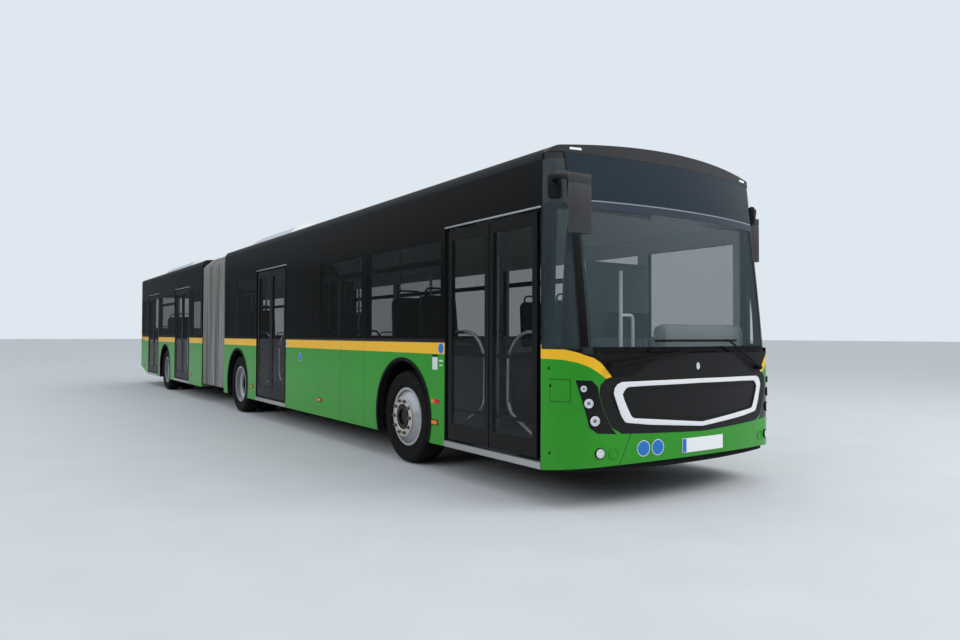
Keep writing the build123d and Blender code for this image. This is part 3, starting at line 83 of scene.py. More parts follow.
def tone(*screen):
    """Colour of a surface from the red, green and blue that it should show on the screen."""
    shares = [value / 255 for value in screen]
    return tuple(v / 12.92 if v <= 10 / 255 else ((v + 0.055) / 1.055) ** 2.4 for v in shares) + (1,)


def mix(tree, share, first, second):
    """Colour mixed by a linked share from two, each a link or the values it shows on the screen."""
    made = node(tree, "Mix")
    made.data_type = "RGBA"
    tree.links.new(share, made.inputs[0])
    for socket, value in ((made.inputs[6], first), (made.inputs[7], second)):
        if isinstance(value, tuple):
            socket.default_value = tone(*value)
        else:
            tree.links.new(value, socket)
    return made.outputs[2]


def ramp(tree, share, stops):
    """Colour that runs over a linked share between two stops, each a place and a colour."""
    made = node(tree, "ValToRGB")
    for element, (place, colour) in zip(made.color_ramp.elements, stops):
        element.position = place
        element.color = colour
    tree.links.new(share, made.inputs["Fac"])
    return made


# Studio: the camera stands where the photographer stood, low at the bus's right front corner.
# A pale floor and a surround that brightens upwards light the bus softly, with one large lamp over
# its front and one along its right side. The lamps show no mirror image in the glass.
CAMERA_PLACE = (12.809, -4.850, 1.323)
CAMERA_TURN = [radians(angle) for angle in (91.20, -0.18, 55.52)]
scene = bpy.context.scene
scene.view_settings.view_transform = "Standard"
bpy.ops.object.camera_add(location=CAMERA_PLACE, rotation=CAMERA_TURN)
camera = bpy.context.object
camera.data.sensor_width = 36
camera.data.lens = 27.07
camera.data.clip_end = 300
scene.camera = camera

world = bpy.data.worlds.new("studio")
scene.world = world
world.use_nodes = True
sky = world.node_tree
sky.nodes.clear()
rays = node(sky, "LightPath").outputs
seen = maths(sky, "MAXIMUM", rays["Is Camera Ray"], rays["Is Transmission Ray"])
upward = node(sky, "SeparateXYZ")
sky.links.new(node(sky, "TexCoord").outputs["Generated"], upward.inputs[0])
rise = ramp(sky, upward.outputs["Z"], ((0.08, (0.09, 0.10, 0.11, 1)), (0.42, (0.88, 0.94, 1.0, 1))))
lit = node(sky, "Background", Strength=1.0)
sky.links.new(rise.outputs["Color"], lit.inputs["Color"])
shown = node(sky, "Background", Color=(0.74, 0.80, 0.87, 1), Strength=1.0)
both = node(sky, "MixShader")
for made, socket in zip((seen, lit.outputs[0], shown.outputs[0]), both.inputs):
    sky.links.new(made, socket)
sky.links.new(both.outputs[0], node(sky, "OutputWorld").inputs[0])

# place, direction, size and power of the two lamps
STUDIO_LAMPS = [((17, 6, 11), (-9, -6, -9), (10, 7), 1250), ((2, -20, 10), (0, 18, -8.5), (26, 8), 1250)]
for place, towards, size, power in STUDIO_LAMPS:
    bpy.ops.object.light_add(type="AREA", location=place)
    lamp = bpy.context.object
    lamp.data.shape = "RECTANGLE"
    lamp.data.size, lamp.data.size_y = size
    lamp.data.energy = power
    lamp.rotation_euler = Vector(towards).to_track_quat("-Z", "Y").to_euler()
    lamp.visible_glossy = False


def noise_over(tree, scale, detail):
    """Noise over a material's object coordinates, as a link."""
    noise = node(tree, "TexNoise", Scale=scale, Detail=detail)
    tree.links.new(node(tree, "TexCoord").outputs["Object"], noise.inputs["Vector"])
    return noise.outputs["Fac"]


def finish(name, colour, roughness, grain=(60, 0.08, 0.04), metallic=0.0, specular=0.5):
    """Material whose colour, gloss and surface vary by fine noise.

    grain gives the noise's scale, how far it spreads the colour, and how strong its relief is.
    """
    scale, spread, bump = grain
    material = bpy.data.materials.new(name)
    material.use_nodes = True
    tree = material.node_tree
    shader = tree.nodes["Principled BSDF"]
    shader.inputs["Metallic"].default_value = metallic
    shader.inputs["Specular IOR Level"].default_value = specular
    noise = noise_over(tree, scale, 5)
    darker, lighter = [tuple(min(1.0, channel * share) for channel in tone(*colour)[:3]) + (1,)
                       for share in (1 - spread, 1 + spread)]
    colours = ramp(tree, noise, ((0.35, darker), (0.65, lighter)))
    colours.name = "colours"
    gloss = node(tree, "MapRange", To_Min=roughness * 0.85, To_Max=min(1.0, roughness * 1.15))
    relief = node(tree, "Bump", Strength=bump, Distance=0.002)
    relief.name = "relief"
    for made, socket in ((noise, gloss.inputs["Value"]), (noise, relief.inputs["Height"]),
                         (colours.outputs["Color"], shader.inputs["Base Color"]),
                         (gloss.outputs["Result"], shader.inputs["Roughness"]),
                         (relief.outputs["Normal"], shader.inputs["Normal"])):
        tree.links.new(made, socket)
    return material


def open_up(material):
    """A material's tree, maths on it, its shader's sockets, its colour, and a point's x, y and z."""
    tree = material.node_tree
    axes = node(tree, "SeparateXYZ")
    tree.links.new(node(tree, "TexCoord").outputs["Object"], axes.inputs[0])
    sockets, colours = tree.nodes["Principled BSDF"].inputs, tree.nodes["colours"].outputs["Color"]
    return tree, partial(maths, tree), sockets, colours, axes.outputs


def see_through(material, alpha):
    """Let part of what lies behind a material show."""
    material.node_tree.nodes["Principled BSDF"].inputs["Alpha"].default_value = alpha


def named(name):
    """The object made last, under a name."""
    bpy.context.object.name = name
    return bpy.context.object


bpy.ops.mesh.primitive_plane_add(size=400, location=(0, 0, 0))
floor = named("studio_floor")
floor_grey = finish("floor_grey", (196, 198, 201), 0.75, (1.5, 0.02, 0.02))
floor.data.materials.append(floor_grey)


# Side walls: welded and bonded aluminium panels with a two-pack paint, green below a yellow stripe.
# The glass band is bonded over the black upper wall, and the saloon side is lined in pale grey.
STRIPE_LOW_Z = 1.142
STRIPE_TOP_Z = 1.252
# stripe edges on the nose, as |y| and height
STRIPE_LOW = [
    (0.90, 0.90), (0.976, 1.000), (1.032, 1.038), (1.101, 1.084), (1.169, 1.116), (1.24, 1.138),
    (1.275, STRIPE_LOW_Z),
]
STRIPE_TOP = [
    (0.90, 0.98), (0.923, 1.010), (0.968, 1.061), (1.017, 1.116), (1.072, 1.153), (1.149, 1.185),
    (1.231, 1.216), (1.275, STRIPE_TOP_Z),
]
# where the curves of these edges start, and how far they run
CURVE_Y, CURVE_WIDE = 0.9, 0.375
CURVE_Z, CURVE_HIGH = 0.9, 0.4
BAND_Y = 0.915              # nearer the middle the nose has no stripe
RISE_X, RISE_RATE = -7.86, 0.10     # behind the last door the stripe swings up
# faces of the walls: lining inside of the first |y|, bare under-coat up to the second, paint outside
LINING_Y = 1.2155
INSET_Y = 1.2535
OUTSIDE_Y = 1.2735
# joints between the lower panels, x
PANEL_JOINTS = [5.265, 4.62, 2.69, 1.12, -0.36, -2.40, -3.05, -4.95, -6.53, -8.15]
# flap on each front corner: middle and half size along x and z
FLAP_X, FLAP_Z = (8.628, 0.080), (0.905, 0.085)
# slanting joints of the bumper: |y| at the ground, lean, top and rear end
SLANT_Y, SLANT_LEAN, SLANT_TOP_Z, SLANT_X = 1.0095, 0.446, 0.60, 8.75


def height_at(tree, edge, across):
    """Height of a stripe's edge over the distance from the middle, level beyond the curve's ends."""
    share = maths(tree, "DIVIDE", maths(tree, "SUBTRACT", across, CURVE_Y), CURVE_WIDE)
    share = maths(tree, "MINIMUM", maths(tree, "MAXIMUM", share, 0.0), 1.0)
    curve = node(tree, "FloatCurve")
    points = curve.mapping.curves[0].points
    while len(points) < len(edge):
        points.new(0.5, 0.5)
    for point, (y, z) in zip(points, edge):
        point.location = ((y - CURVE_Y) / CURVE_WIDE, (z - CURVE_Z) / CURVE_HIGH)
        point.handle_type = "VECTOR"
    curve.mapping.update()
    tree.links.new(share, curve.inputs["Value"])
    return maths(tree, "ADD", maths(tree, "MULTIPLY", curve.outputs[0], CURVE_HIGH), CURVE_Z)


body_paint = finish("body_paint", (38, 142, 26), 0.30, (2.2, 0.05, 0.0))
tree, do, sockets, colours, (along, sideways, height) = open_up(body_paint)
across = do("ABSOLUTE", sideways)
behind = do("MAXIMUM", do("SUBTRACT", RISE_X, along), 0.0)
level = do("SUBTRACT", height, do("MULTIPLY", do("POWER", behind, 2.0), RISE_RATE))
# the walls carry the stripe at the height of the curve's outer end
rear_half = do("LESS_THAN", along, 0.0)
aside = do("MAXIMUM", across, do("MULTIPLY", rear_half, 2.0))
stripe_top = height_at(tree, STRIPE_TOP, aside)
over = do("GREATER_THAN", level, height_at(tree, STRIPE_LOW, aside))
under = do("LESS_THAN", level, stripe_top)
on_band = do("MAXIMUM", do("GREATER_THAN", across, BAND_Y), rear_half)
stripe = all_of(tree, [over, under, on_band])
# road dust gathers towards the skirt
low = node(tree, "MapRange", From_Min=0.75, From_Max=0.28, To_Max=0.16)
tree.links.new(height, low.inputs["Value"])
dust = do("MULTIPLY", low.outputs["Result"], noise_over(tree, 6, 8))
coloured = mix(tree, stripe, mix(tree, dust, colours, (88, 122, 62)), (240, 184, 36))
joint = any_of(tree, [do("COMPARE", along, x, 0.0022) for x in PANEL_JOINTS])
below = do("LESS_THAN", height, STRIPE_TOP_Z)
joint = all_of(tree, [joint, below, do("GREATER_THAN", across, OUTSIDE_Y)])
slant = do("COMPARE", do("ADD", across, do("MULTIPLY", height, SLANT_LEAN)), SLANT_Y, 0.003)
slant = all_of(tree, [slant, do("LESS_THAN", height, SLANT_TOP_Z), do("GREATER_THAN", along, SLANT_X)])
flap = [do("DIVIDE", do("ABSOLUTE", do("SUBTRACT", axis, middle)), half)
        for axis, (middle, half) in ((along, FLAP_X), (height, FLAP_Z))]
flap = do("COMPARE", any_of(tree, flap), 1.0, 0.03)
joint = any_of(tree, [joint, slant, flap])
coloured = mix(tree, joint, coloured, (12, 30, 12))
above = do("GREATER_THAN", level, stripe_top)
tree.links.new(mix(tree, above, coloured, (8, 8, 9)), sockets["Base Color"])
# the green has more gloss than the black
sockets["Coat Roughness"].default_value = 0.08
tree.links.new(do("SUBTRACT", 0.12, do("MULTIPLY", above, 0.10)), sockets["Coat Weight"])
tree.links.new(do("SUBTRACT", 0.25, do("MULTIPLY", above, 0.15)), sockets["Specular IOR Level"])
# fine orange peel in the green, and joints sunk in
relief = tree.nodes["relief"]
relief.inputs["Strength"].default_value = 0.03
peel = do("MULTIPLY", noise_over(tree, 350, 2), do("SUBTRACT", 1.0, above))
tree.links.new(do("SUBTRACT", peel, do("MULTIPLY", joint, 30.0)), relief.inputs["Height"])

lining = finish("saloon_lining", (196, 198, 196), 0.55, (90, 0.04, 0.01))
under_coat = finish("under_coat", (24, 24, 25), 0.8, (45, 0.15, 0.04), specular=0.2)


def paint_faces(piece, material, test):
    """Give one more material to the faces whose centre and normal pass the test."""
    piece.data.materials.append(material)
    slot = len(piece.data.materials) - 1
    for face in piece.data.polygons:
        if test(face.center, face.normal):
            face.material_index = slot


def paint(piece, material, *others):
    """Give a piece a material in place of what it had, and others to the faces that pass their tests."""
    piece.data.materials.clear()
    piece.data.materials.append(material)
    for other, test in others:
        paint_faces(piece, other, test)


def only(piece):
    """Make a piece the one selected and active object."""
    bpy.ops.object.select_all(action="DESELECT")
    piece.select_set(True)
    bpy.context.view_layer.objects.active = piece


def settle(piece):
    """Move a piece's place, turn and size into its mesh."""
    only(piece)
    bpy.ops.object.transform_apply(location=True, rotation=True, scale=True)


def smooth(angle=35):
    """Shade the active mesh smooth but for its edges over an angle."""
    bpy.ops.object.shade_smooth_by_angle(angle=radians(angle))


def soften(piece, width, segments=2):
    """Round the edges over 35 degrees."""
    bpy.context.view_layer.objects.active = piece
    edges = piece.modifiers.new("edges", "BEVEL")
    edges.width = width
    edges.segments = segments
    edges.limit_method = "ANGLE"
    edges.angle_limit = radians(35)
    bpy.ops.object.modifier_apply(modifier="edges")
    smooth()


def between(first, second, share):
    """Point at a share of the way from one to another."""
    return tuple(a + (b - a) * share for a, b in zip(first, second))


def grid(name, columns, rows, lie):
    """Sheet of so many cells; lie gives a point of it from two shares, each 0 to 1."""
    bpy.ops.mesh.primitive_grid_add(x_subdivisions=columns, y_subdivisions=rows, size=1)
    sheet = named(name)
    for vertex in sheet.data.vertices:
        vertex.co = lie(vertex.co.x + 0.5, vertex.co.y + 0.5)
    return sheet


def thicken(sheet, thickness):
    """Give a sheet a thickness behind its face."""
    wall = sheet.modifiers.new("wall", "SOLIDIFY")
    wall.thickness = thickness
    bpy.ops.object.modifier_apply(modifier="wall")


def edit(selected="SELECT"):
    """Enter edit mode with all of the active mesh selected, none with DESELECT, or the same with None."""
    bpy.ops.object.mode_set(mode="EDIT")
    if selected:
        bpy.ops.mesh.select_all(action=selected)


def leave_edit():
    """Return to object mode, which writes the edits to the mesh."""
    bpy.ops.object.mode_set(mode="OBJECT")


def face_outwards(merge=0.0):
    """Turn the active mesh's faces outwards, after merging points closer than the distance."""
    edit()
    if merge:
        bpy.ops.mesh.remove_doubles(threshold=merge)
    bpy.ops.mesh.normals_make_consistent(inside=False)
    leave_edit()


def rod(corners, radius, depth, place):
    """Cylinder that lies across the bus."""
    bpy.ops.mesh.primitive_cylinder_add(
        vertices=corners, radius=radius, depth=depth, location=place, rotation=(pi / 2, 0, 0))
    made = bpy.context.object
    settle(made)
    return made


def block(name, low, high, material, body, bevel=0.0):
    """Box-shaped stock with softened edges, between two corners in any order."""
    low, high = zip(*(sorted(pair) for pair in zip(low, high)))
    size = [b - a for a, b in zip(low, high)]
    bpy.ops.mesh.primitive_cube_add(size=1, location=[(a + b) / 2 for a, b in zip(low, high)], scale=size)
    piece = named(name)
    settle(piece)
    if bevel:
        soften(piece, bevel)
    paint(piece, material)
    if body:
        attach(piece, body)
    return piece


def join(name, pieces, body=None):
    """Join pieces into one mesh that rides on a body."""
    bpy.ops.object.select_all(action="DESELECT")
    for piece in pieces:
        piece.parent = None
        piece.select_set(True)
    bpy.context.view_layer.objects.active = pieces[0]
    bpy.ops.object.join()
    joined = named(name)
    if body:
        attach(joined, body)
    return joined


rubber = finish("black_rubber", (13, 13, 14), 0.7, (120, 0.15, 0.12), specular=0.2)
AXLES = {"1": 6.185, "2": 0.285, "3": -5.705}
ARCH_Z = 0.500


def on_arch_lip(c, n):
    """Whether a face belongs to the black profile round a wheel arch."""
    reaches = [hypot(c.x - x, c.z - ARCH_Z) for x in AXLES.values()]
    return abs(c.y) > INSET_Y and any(0.5555 < reach < 0.5925 for reach in reaches)


for name in ("front_walls", "rear_walls"):
    paint(nodes[name], body_paint, (lining, lambda c, n: abs(c.y) < LINING_Y),
          (under_coat, lambda c, n: LINING_Y < abs(c.y) < INSET_Y), (rubber, on_arch_lip))


# Portal trims: ribbed aluminium edges screwed on under the door steps, and a slim bright strip over
# each pair of leaves.
aluminium = finish("sill_aluminium", (190, 190, 188), 0.38, (220, 0.05, 0.08), metallic=0.9)
# rear and front end of each
PORTALS = {
    "door_1": (7.015, 8.440), "door_2": (1.305, 2.675), "door_3": (-4.665, -3.250),
    "door_4": (-7.845, -6.495),
}
JOINT_X = -1.365


def section_of(x):
    """Body that carries a fixed piece at a place along the bus."""
    return "front_section" if x > JOINT_X else "rear_section"


for name, (rear, front) in PORTALS.items():
    body = section_of(rear)
    strip = block(f"{name}_sill", (rear, -1.281, 0.281), (front, -1.235, 0.336), aluminium, None, 0.002)
    edit()
    for z in (0.295, 0.309, 0.323):
        bpy.ops.mesh.bisect(plane_co=(0, 0, z), plane_no=(0, 0, 1))
        bpy.ops.mesh.select_all(action="SELECT")
    leave_edit()
    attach(strip, body)
    block(f"{name}_header_strip", (rear, -1.279, 2.322), (front, -1.270, 2.338), aluminium, body, 0.002)

# Side marker lamps: small amber lenses in black bases along the skirt. By the front door there are
# also a red reflector, a small label and the blue round signs, all left without words.
amber = finish("amber_lens", (235, 120, 30), 0.18, (300, 0.1, 0.1))
red_lens = finish("red_lens", (176, 22, 18), 0.14, (260, 0.15, 0.15))
sign_blue = finish("sign_blue", (20, 110, 190), 0.3, (90, 0.04, 0.02))
label_white = finish("label_white", (214, 218, 216), 0.4, (150, 0.04, 0.03))
MARKERS = [6.844, 3.961, 1.110, -3.060, -6.300, -8.350]
for name, side in SIDES:
    for index, x in enumerate(MARKERS, 1):
        low, high = (x - 0.058, side * 1.276 - 0.003, 0.460), (x + 0.058, side * 1.276 + 0.003, 0.512)
        base = block("base", low, high, rubber, None, 0.002)
        low, high = (x - 0.050, side * 1.281 - 0.007, 0.467), (x + 0.050, side * 1.281 + 0.007, 0.505)
        lens = block("lens", low, high, amber, None, 0.005)
        join(f"marker_{name}_{index}", [base, lens], section_of(x))
# stickers and reflectors on the right side: name, middle x and z, width, height, finish
STICKERS = [
    ("reflector_red", 6.880, 0.687, 0.095, 0.042, red_lens),
    ("reflector_amber", 6.802, 0.687, 0.050, 0.042, amber),
    ("door_label", 6.840, 1.050, 0.095, 0.120, label_white),
    ("door_label_bar", 6.840, 1.125, 0.100, 0.018, rubber),
    ("door_2_label", 2.700, 1.190, 0.040, 0.090, label_white),
    ("door_2_spot", 2.700, 1.192, 0.030, 0.030, sign_blue),
    ("door_line_high", 6.952, 1.078, 0.070, 0.016, label_white),
    ("door_line_low", 6.952, 1.035, 0.055, 0.012, label_white),
]
for name, x, z, wide, high, material in STICKERS:
    low, high = (x - wide / 2, -1.2765, z - high / 2), (x + wide / 2, -1.2745, z + high / 2)
    block(name, low, high, material, section_of(x), 0.0008)
# round plates on the sides: name, middle x and z, radius, side, how far its face stands off, finish
DISCS = [
    ("side_sign_rim_1", 6.951, 1.196, 0.052, -1, 0.0012, label_white),
    ("side_sign_face_1", 6.951, 1.196, 0.048, -1, 0.0018, sign_blue),
    ("side_sign_rim_2", 3.245, 1.015, 0.058, -1, 0.0012, label_white),
    ("side_sign_face_2", 3.245, 1.015, 0.053, -1, 0.0018, sign_blue),
]
SCREW_PLUGS = [(8.536, 1.071), (8.552, 0.939), (8.544, 0.424)]
for name, side in SIDES:
    for index, (x, z) in enumerate(SCREW_PLUGS, 1):
        DISCS.append((f"screw_plug_{name}_{index}", x, z, 0.011, side, 0.0010, rubber))
for name, x, z, radius, side, proud, material in DISCS:
    disc = rod(40, radius, 0.002, (x, side * (1.2745 + proud), z))
    disc.name = name
    soften(disc, 0.0006, 1)
    paint(disc, material)
    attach(disc, section_of(x))

# Floors: plywood decks covered with speckled grey vinyl, turned up over the wheel boxes.
# The underside shows black under-coat.
vinyl = finish("floor_vinyl", (88, 91, 96), 0.6, (120, 0.12, 0.1))


def faces_wheel(c, n):
    """Whether a face of a wheel box looks at the wheels."""
    for axle_x in AXLES.values():
        if abs(c.x - axle_x) < 0.80 and 0.60 < abs(c.y) < 1.22 and c.z < 1.10:
            return n.x * (axle_x - c.x) > 0.3 or n.y * c.y > 0.3 or n.z < -0.5
    return False


for name in ("front_floor", "rear_floor"):
    paint(nodes[name], vinyl,
          (under_coat, lambda c, n: n.z < -0.5 and c.z < 0.45), (under_coat, faces_wheel))

# Roofs: one-piece dark grey shells over pale ceiling and duct panels.
roof_paint = finish("roof_paint", (36, 37, 39), 0.6, (3, 0.06, 0.01), specular=0.12)
for name in ("front_roof", "rear_roof"):
    paint(nodes[name], roof_paint, (lining, lambda c, n: abs(c.y) < 1.216 and c.z < 2.7505))

# Nose mask: glass-fibre panel painted like the walls, with a black panel let in across its middle.
# The black panel carries a pale grey raised ring and is plain inside it.
NOSE_X = 8.955
NOSE_R = 4.600
CORNER_R = 0.350
CORNER_Y = 0.925
CORNER_X = NOSE_X - NOSE_R + sqrt((NOSE_R - CORNER_R) ** 2 - CORNER_Y ** 2)
FRONT_Y = 1.0012            # the wide curve of the nose ends here and the corner's begins


def nose_x(y):
    """Where the mask's outer face lies at a distance from the middle."""
    if abs(y) < FRONT_Y:
        return NOSE_X - NOSE_R + sqrt(NOSE_R ** 2 - y ** 2)
    return CORNER_X + sqrt(max(0.0, CORNER_R ** 2 - (abs(y) - CORNER_Y) ** 2))


panel_black = finish("panel_black", (27, 27, 28), 0.5, (400, 0.08, 0.1), specular=0.2)
gloss_black = finish("gloss_black", (8, 8, 9), 0.16, (30, 0.05, 0.01), specular=0.25)
ring_grey = finish("ring_grey", (226, 227, 229), 0.28, (60, 0.02, 0.01))
paint(nodes["front_mask"], body_paint,
      (under_coat, lambda c, n: n.x < -0.3 or n.y * c.y < -0.3 * abs(c.y)))
# the floor runs on into the nose, up to the mask
NOSE_FLOOR_X = 8.4475
NOSE_FLOOR_WIDE = 2.41
NOSE_FLOOR_Z = 0.334


def on_nose_floor(u, v):
    """Point of the nose's floor from its shares along and across."""
    y = (v - 0.5) * NOSE_FLOOR_WIDE
    return NOSE_FLOOR_X + u * (nose_x(y) - 0.06 - NOSE_FLOOR_X), y, NOSE_FLOOR_Z


nose_floor = grid("nose_floor", 4, 40, on_nose_floor)
thicken(nose_floor, 0.045)
soften(nose_floor, 0.003)
paint(nose_floor, vinyl, (under_coat, lambda c, n: n.z < 0.5))
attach(nose_floor, "front_section")
# the panel falls away in a darker, smoother corner round each wiper's pivot, above a slanting crease; the
# crease itself is a painted shadow line
WELL_LEAN, WELL_EDGE, WELL_LOW_Z = 0.529, 1.410, 1.005
well_black_crease_shadow = panel_black.copy()
tree, do, sockets, colours, (along, sideways, height) = open_up(well_black_crease_shadow)
over = do("SUBTRACT", do("ADD", height, do("MULTIPLY", do("ABSOLUTE", sideways), WELL_LEAN)), WELL_EDGE)
high_up = do("GREATER_THAN", height, WELL_LOW_Z)
well = do("MULTIPLY", do("GREATER_THAN", over, 0.0), high_up)
# painted shadow along the crease
crease_shadow = do("MULTIPLY", do("COMPARE", over, 0.0, 0.004), high_up)
tree.links.new(mix(tree, crease_shadow, mix(tree, well, colours, (14, 13, 14)), (4, 4, 4)), sockets["Base Color"])
paint(nodes["grille"], well_black_crease_shadow)
# half outline of the raised light ring, from its top to its foot: outer and inner (|y|, z)
RING_OUT = [
    (0.0, 0.977), (0.583, 0.973), (0.840, 0.969), (0.883, 0.951), (0.907, 0.920), (0.917, 0.887),
    (0.897, 0.830), (0.869, 0.756), (0.840, 0.698), (0.816, 0.666), (0.797, 0.657), (0.584, 0.632),
    (0.0, 0.588),
]
RING_IN = [
    (0.0, 0.940), (0.583, 0.935), (0.772, 0.930), (0.796, 0.925), (0.820, 0.903), (0.836, 0.875),
    (0.821, 0.832), (0.787, 0.761), (0.762, 0.715), (0.747, 0.698), (0.727, 0.689), (0.530, 0.672),
    (0.0, 0.624),
]
stations = []
for outer, outer_end, inner, inner_end in zip(RING_OUT, RING_OUT[1:], RING_IN, RING_IN[1:]):
    steps = max(2, round(abs(outer_end[0] - outer[0]) / 0.05))
    for share in (index / steps for index in range(steps)):
        stations.append([between(outer, outer_end, share), between(inner, inner_end, share)])
stations.append([RING_OUT[-1], RING_IN[-1]])
stations += [[(-y, z) for y, z in pair] for pair in reversed(stations)][1:]


def on_ring(u, v):
    """Point of the light ring from its shares round the ring and inwards."""
    y, z = between(*stations[round(u * (len(stations) - 1))], v)
    return nose_x(y) + 0.0095, y, z


light_ring = grid("light_ring", len(stations) - 1, 3, on_ring)
face_outwards(0.0005)
if light_ring.data.polygons[0].normal.x < 0:
    light_ring.data.flip_normals()
thicken(light_ring, 0.009)
soften(light_ring, 0.0025)
paint(light_ring, ring_grey)
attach(light_ring, "front_section")

# Headlamp pods: black plates with three round lamps, each a chrome bowl with a grey bulb behind a
# clear lens. A fog lamp sits below in the bumper, beside the round cap of the towing eye.
# |y|, z, radius and depth of each lamp, from the top
LAMPS = [
    (1.139, 0.923, 0.026, 0.5), (1.108, 0.813, 0.037, 1.0), (1.067, 0.681, 0.040, 1.0),
    (1.028, 0.437, 0.036, 1.0),
]
HEADLAMPS = 3
chrome = finish("lamp_chrome", (232, 234, 238), 0.22, (25, 0.03, 0.0), metallic=0.55)
lens_glass = finish("lamp_lens", (240, 244, 248), 0.05, (30, 0.02, 0.02))
see_through(lens_glass, 0.07)
bulb_grey = finish("bulb_grey", (92, 86, 88), 0.3, (200, 0.1, 0.05))
paint(nodes["front_lamps"], gloss_black)


def nose_turn(y):
    """Angle of the mask's outward direction at a distance from the middle, about the vertical."""
    if abs(y) < FRONT_Y:
        return asin(y / NOSE_R)
    turn = asin(min(1.0, (abs(y) - CORNER_Y) / CORNER_R))
    return turn if y > 0 else -turn


def set_on_nose(piece, y, z, proud):
    """Fix a piece made round the z axis on the mask at y and z, facing outwards."""
    turn = nose_turn(y)
    piece.rotation_euler = (0, pi / 2, turn)
    piece.location = (nose_x(y) + proud * cos(turn), y + proud * sin(turn), z)
    settle(piece)
    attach(piece, "front_section")


def bowl(name, radius, depth, material):
    """Round dish, open towards +z, with a rolled rim and a bulb in its middle."""
    bpy.ops.mesh.primitive_circle_add(vertices=40, radius=radius, fill_type="NGON")
    dish = named(name)
    edit(None)
    # share of the radius and height of each ring of the dish, from its rim to the bulb
    rings = [(0.90, 0.004), (0.84, 0.0), (0.62, -depth * 0.8), (0.36, -depth), (0.30, -depth * 0.55),
             (0.12, -depth * 0.3)]
    for share, drop in rings:
        bpy.ops.mesh.inset(thickness=0)
        bpy.ops.mesh.select_all(action="DESELECT")
        leave_edit()
        centre = min(dish.data.polygons, key=lambda face: face.center.xy.length - face.area)
        centre.select = True
        for index in centre.vertices:
            spot = dish.data.vertices[index]
            spot.co.xy = spot.co.xy.normalized() * radius * share
            spot.co.z = drop
        edit(None)
    leave_edit()
    smooth(40)
    paint(dish, material)
    return dish


for side, way in SIDES:
    for index, (y, z, radius, deep) in enumerate(LAMPS, 1):
        dish = bowl(f"lamp_bowl_{index}_{side}", radius, 0.003 * deep, chrome)
        if index <= HEADLAMPS:
            paint_faces(dish, bulb_grey, lambda c, n: c.xy.length < radius * 0.33)
        set_on_nose(dish, way * y, z, 0.0100)
        bpy.ops.mesh.primitive_uv_sphere_add(segments=32, ring_count=16, radius=radius * 0.97)
        lens = named(f"lamp_lens_{index}_{side}")
        edit()
        bpy.ops.mesh.bisect(plane_co=(0, 0, 0), plane_no=(0, 0, 1), clear_inner=True)
        leave_edit()
        lens.scale = (1, 1, 0.22)
        settle(lens)
        bpy.ops.object.shade_smooth()
        paint(lens, lens_glass)
        set_on_nose(lens, way * y, z, 0.0105)
        bpy.ops.mesh.primitive_torus_add(
            major_segments=40, minor_segments=10, major_radius=radius, minor_radius=0.004)
        bezel = named(f"lamp_bezel_{index}_{side}")
        bpy.ops.object.shade_smooth()
        paint(bezel, gloss_black)
        set_on_nose(bezel, way * y, z, 0.0085)
    set_on_nose(bowl(f"towing_cap_{side}", 0.045, 0.002, body_paint), way * 0.912, 0.432, 0.002)
badge = bowl("badge_plate", 0.020, -0.002, chrome)
badge.scale = (1.5, 1, 1)
set_on_nose(badge, -0.044, 1.077, 0.001)

# Bumper fittings: a plain white number plate with a plain blue end, and two plain blue round signs.
plate_white = finish("plate_white", (232, 234, 234), 0.35, (220, 0.02, 0.02))


def patch(name, lie, y_ends, z_ends, proud, material, cuts=(24, 8), thickness=0.002):
    """Sheet that follows the front between two heights; lie gives the surface's x at (y, z)."""
    (y0, y1), (z0, z1) = sorted(y_ends), z_ends

    def on_front(u, v):
        y, z = y0 + u * (y1 - y0), z0 + v * (z1 - z0)
        return lie(y, z) + proud, y, z

    sheet = grid(name, *cuts, on_front)
    thicken(sheet, thickness)
    face_outwards()
    smooth()
    paint(sheet, material)
    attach(sheet, "front_section")


def on_mask(y, z):
    """Outer face of the mask, the same at every height."""
    return nose_x(y)


patch("number_plate", on_mask, (-0.235, 0.275), (0.386, 0.500), 0.005, plate_white, (12, 3), 0.004)
patch("number_plate_end", on_mask, (-0.232, -0.190), (0.389, 0.497), 0.0056, sign_blue, (2, 3), 0.001)
for index, y in enumerate((-0.636, -0.495), 1):
    parts = (("rim", 0.062, 0.0012, plate_white), ("face", 0.057, 0.0020, sign_blue))
    for part, radius, proud, material in parts:
        disc = bowl(f"round_sign_{part}_{index}", radius, 0.0, material)
        for vertex in disc.data.vertices:
            vertex.co.z = 0
        set_on_nose(disc, y, 0.452, proud)

# Front frame: dark grey moulded posts and roof cap that carry the bonded windscreen.
# Behind the screen's top edge is the black case of the destination sign, with a blank display.
frame_grey = finish("cap_grey", (48, 48, 49), 0.45, (4, 0.05, 0.01), specular=0.3)
screen_glass = finish("screen_glass", (96, 116, 122), 0.04, (5, 0.04, 0.0))
see_through(screen_glass, 0.15)
SCREEN_Z = 1.180
SCREEN_TOP_Z = 2.755
SCREEN_HALF = 1.139
BORDER_TOP_Z = 2.310
BAND_TOP_Z = 2.372
LINE_TOP_Z = 2.382
paint(nodes["front_frame"], gloss_black, (frame_grey, lambda c, n: c.z > SCREEN_TOP_Z - 0.001),
      (frame_grey, lambda c, n: abs(c.y) > 1.15 and c.z > 2.35))
paint(nodes["windscreen"], screen_glass)


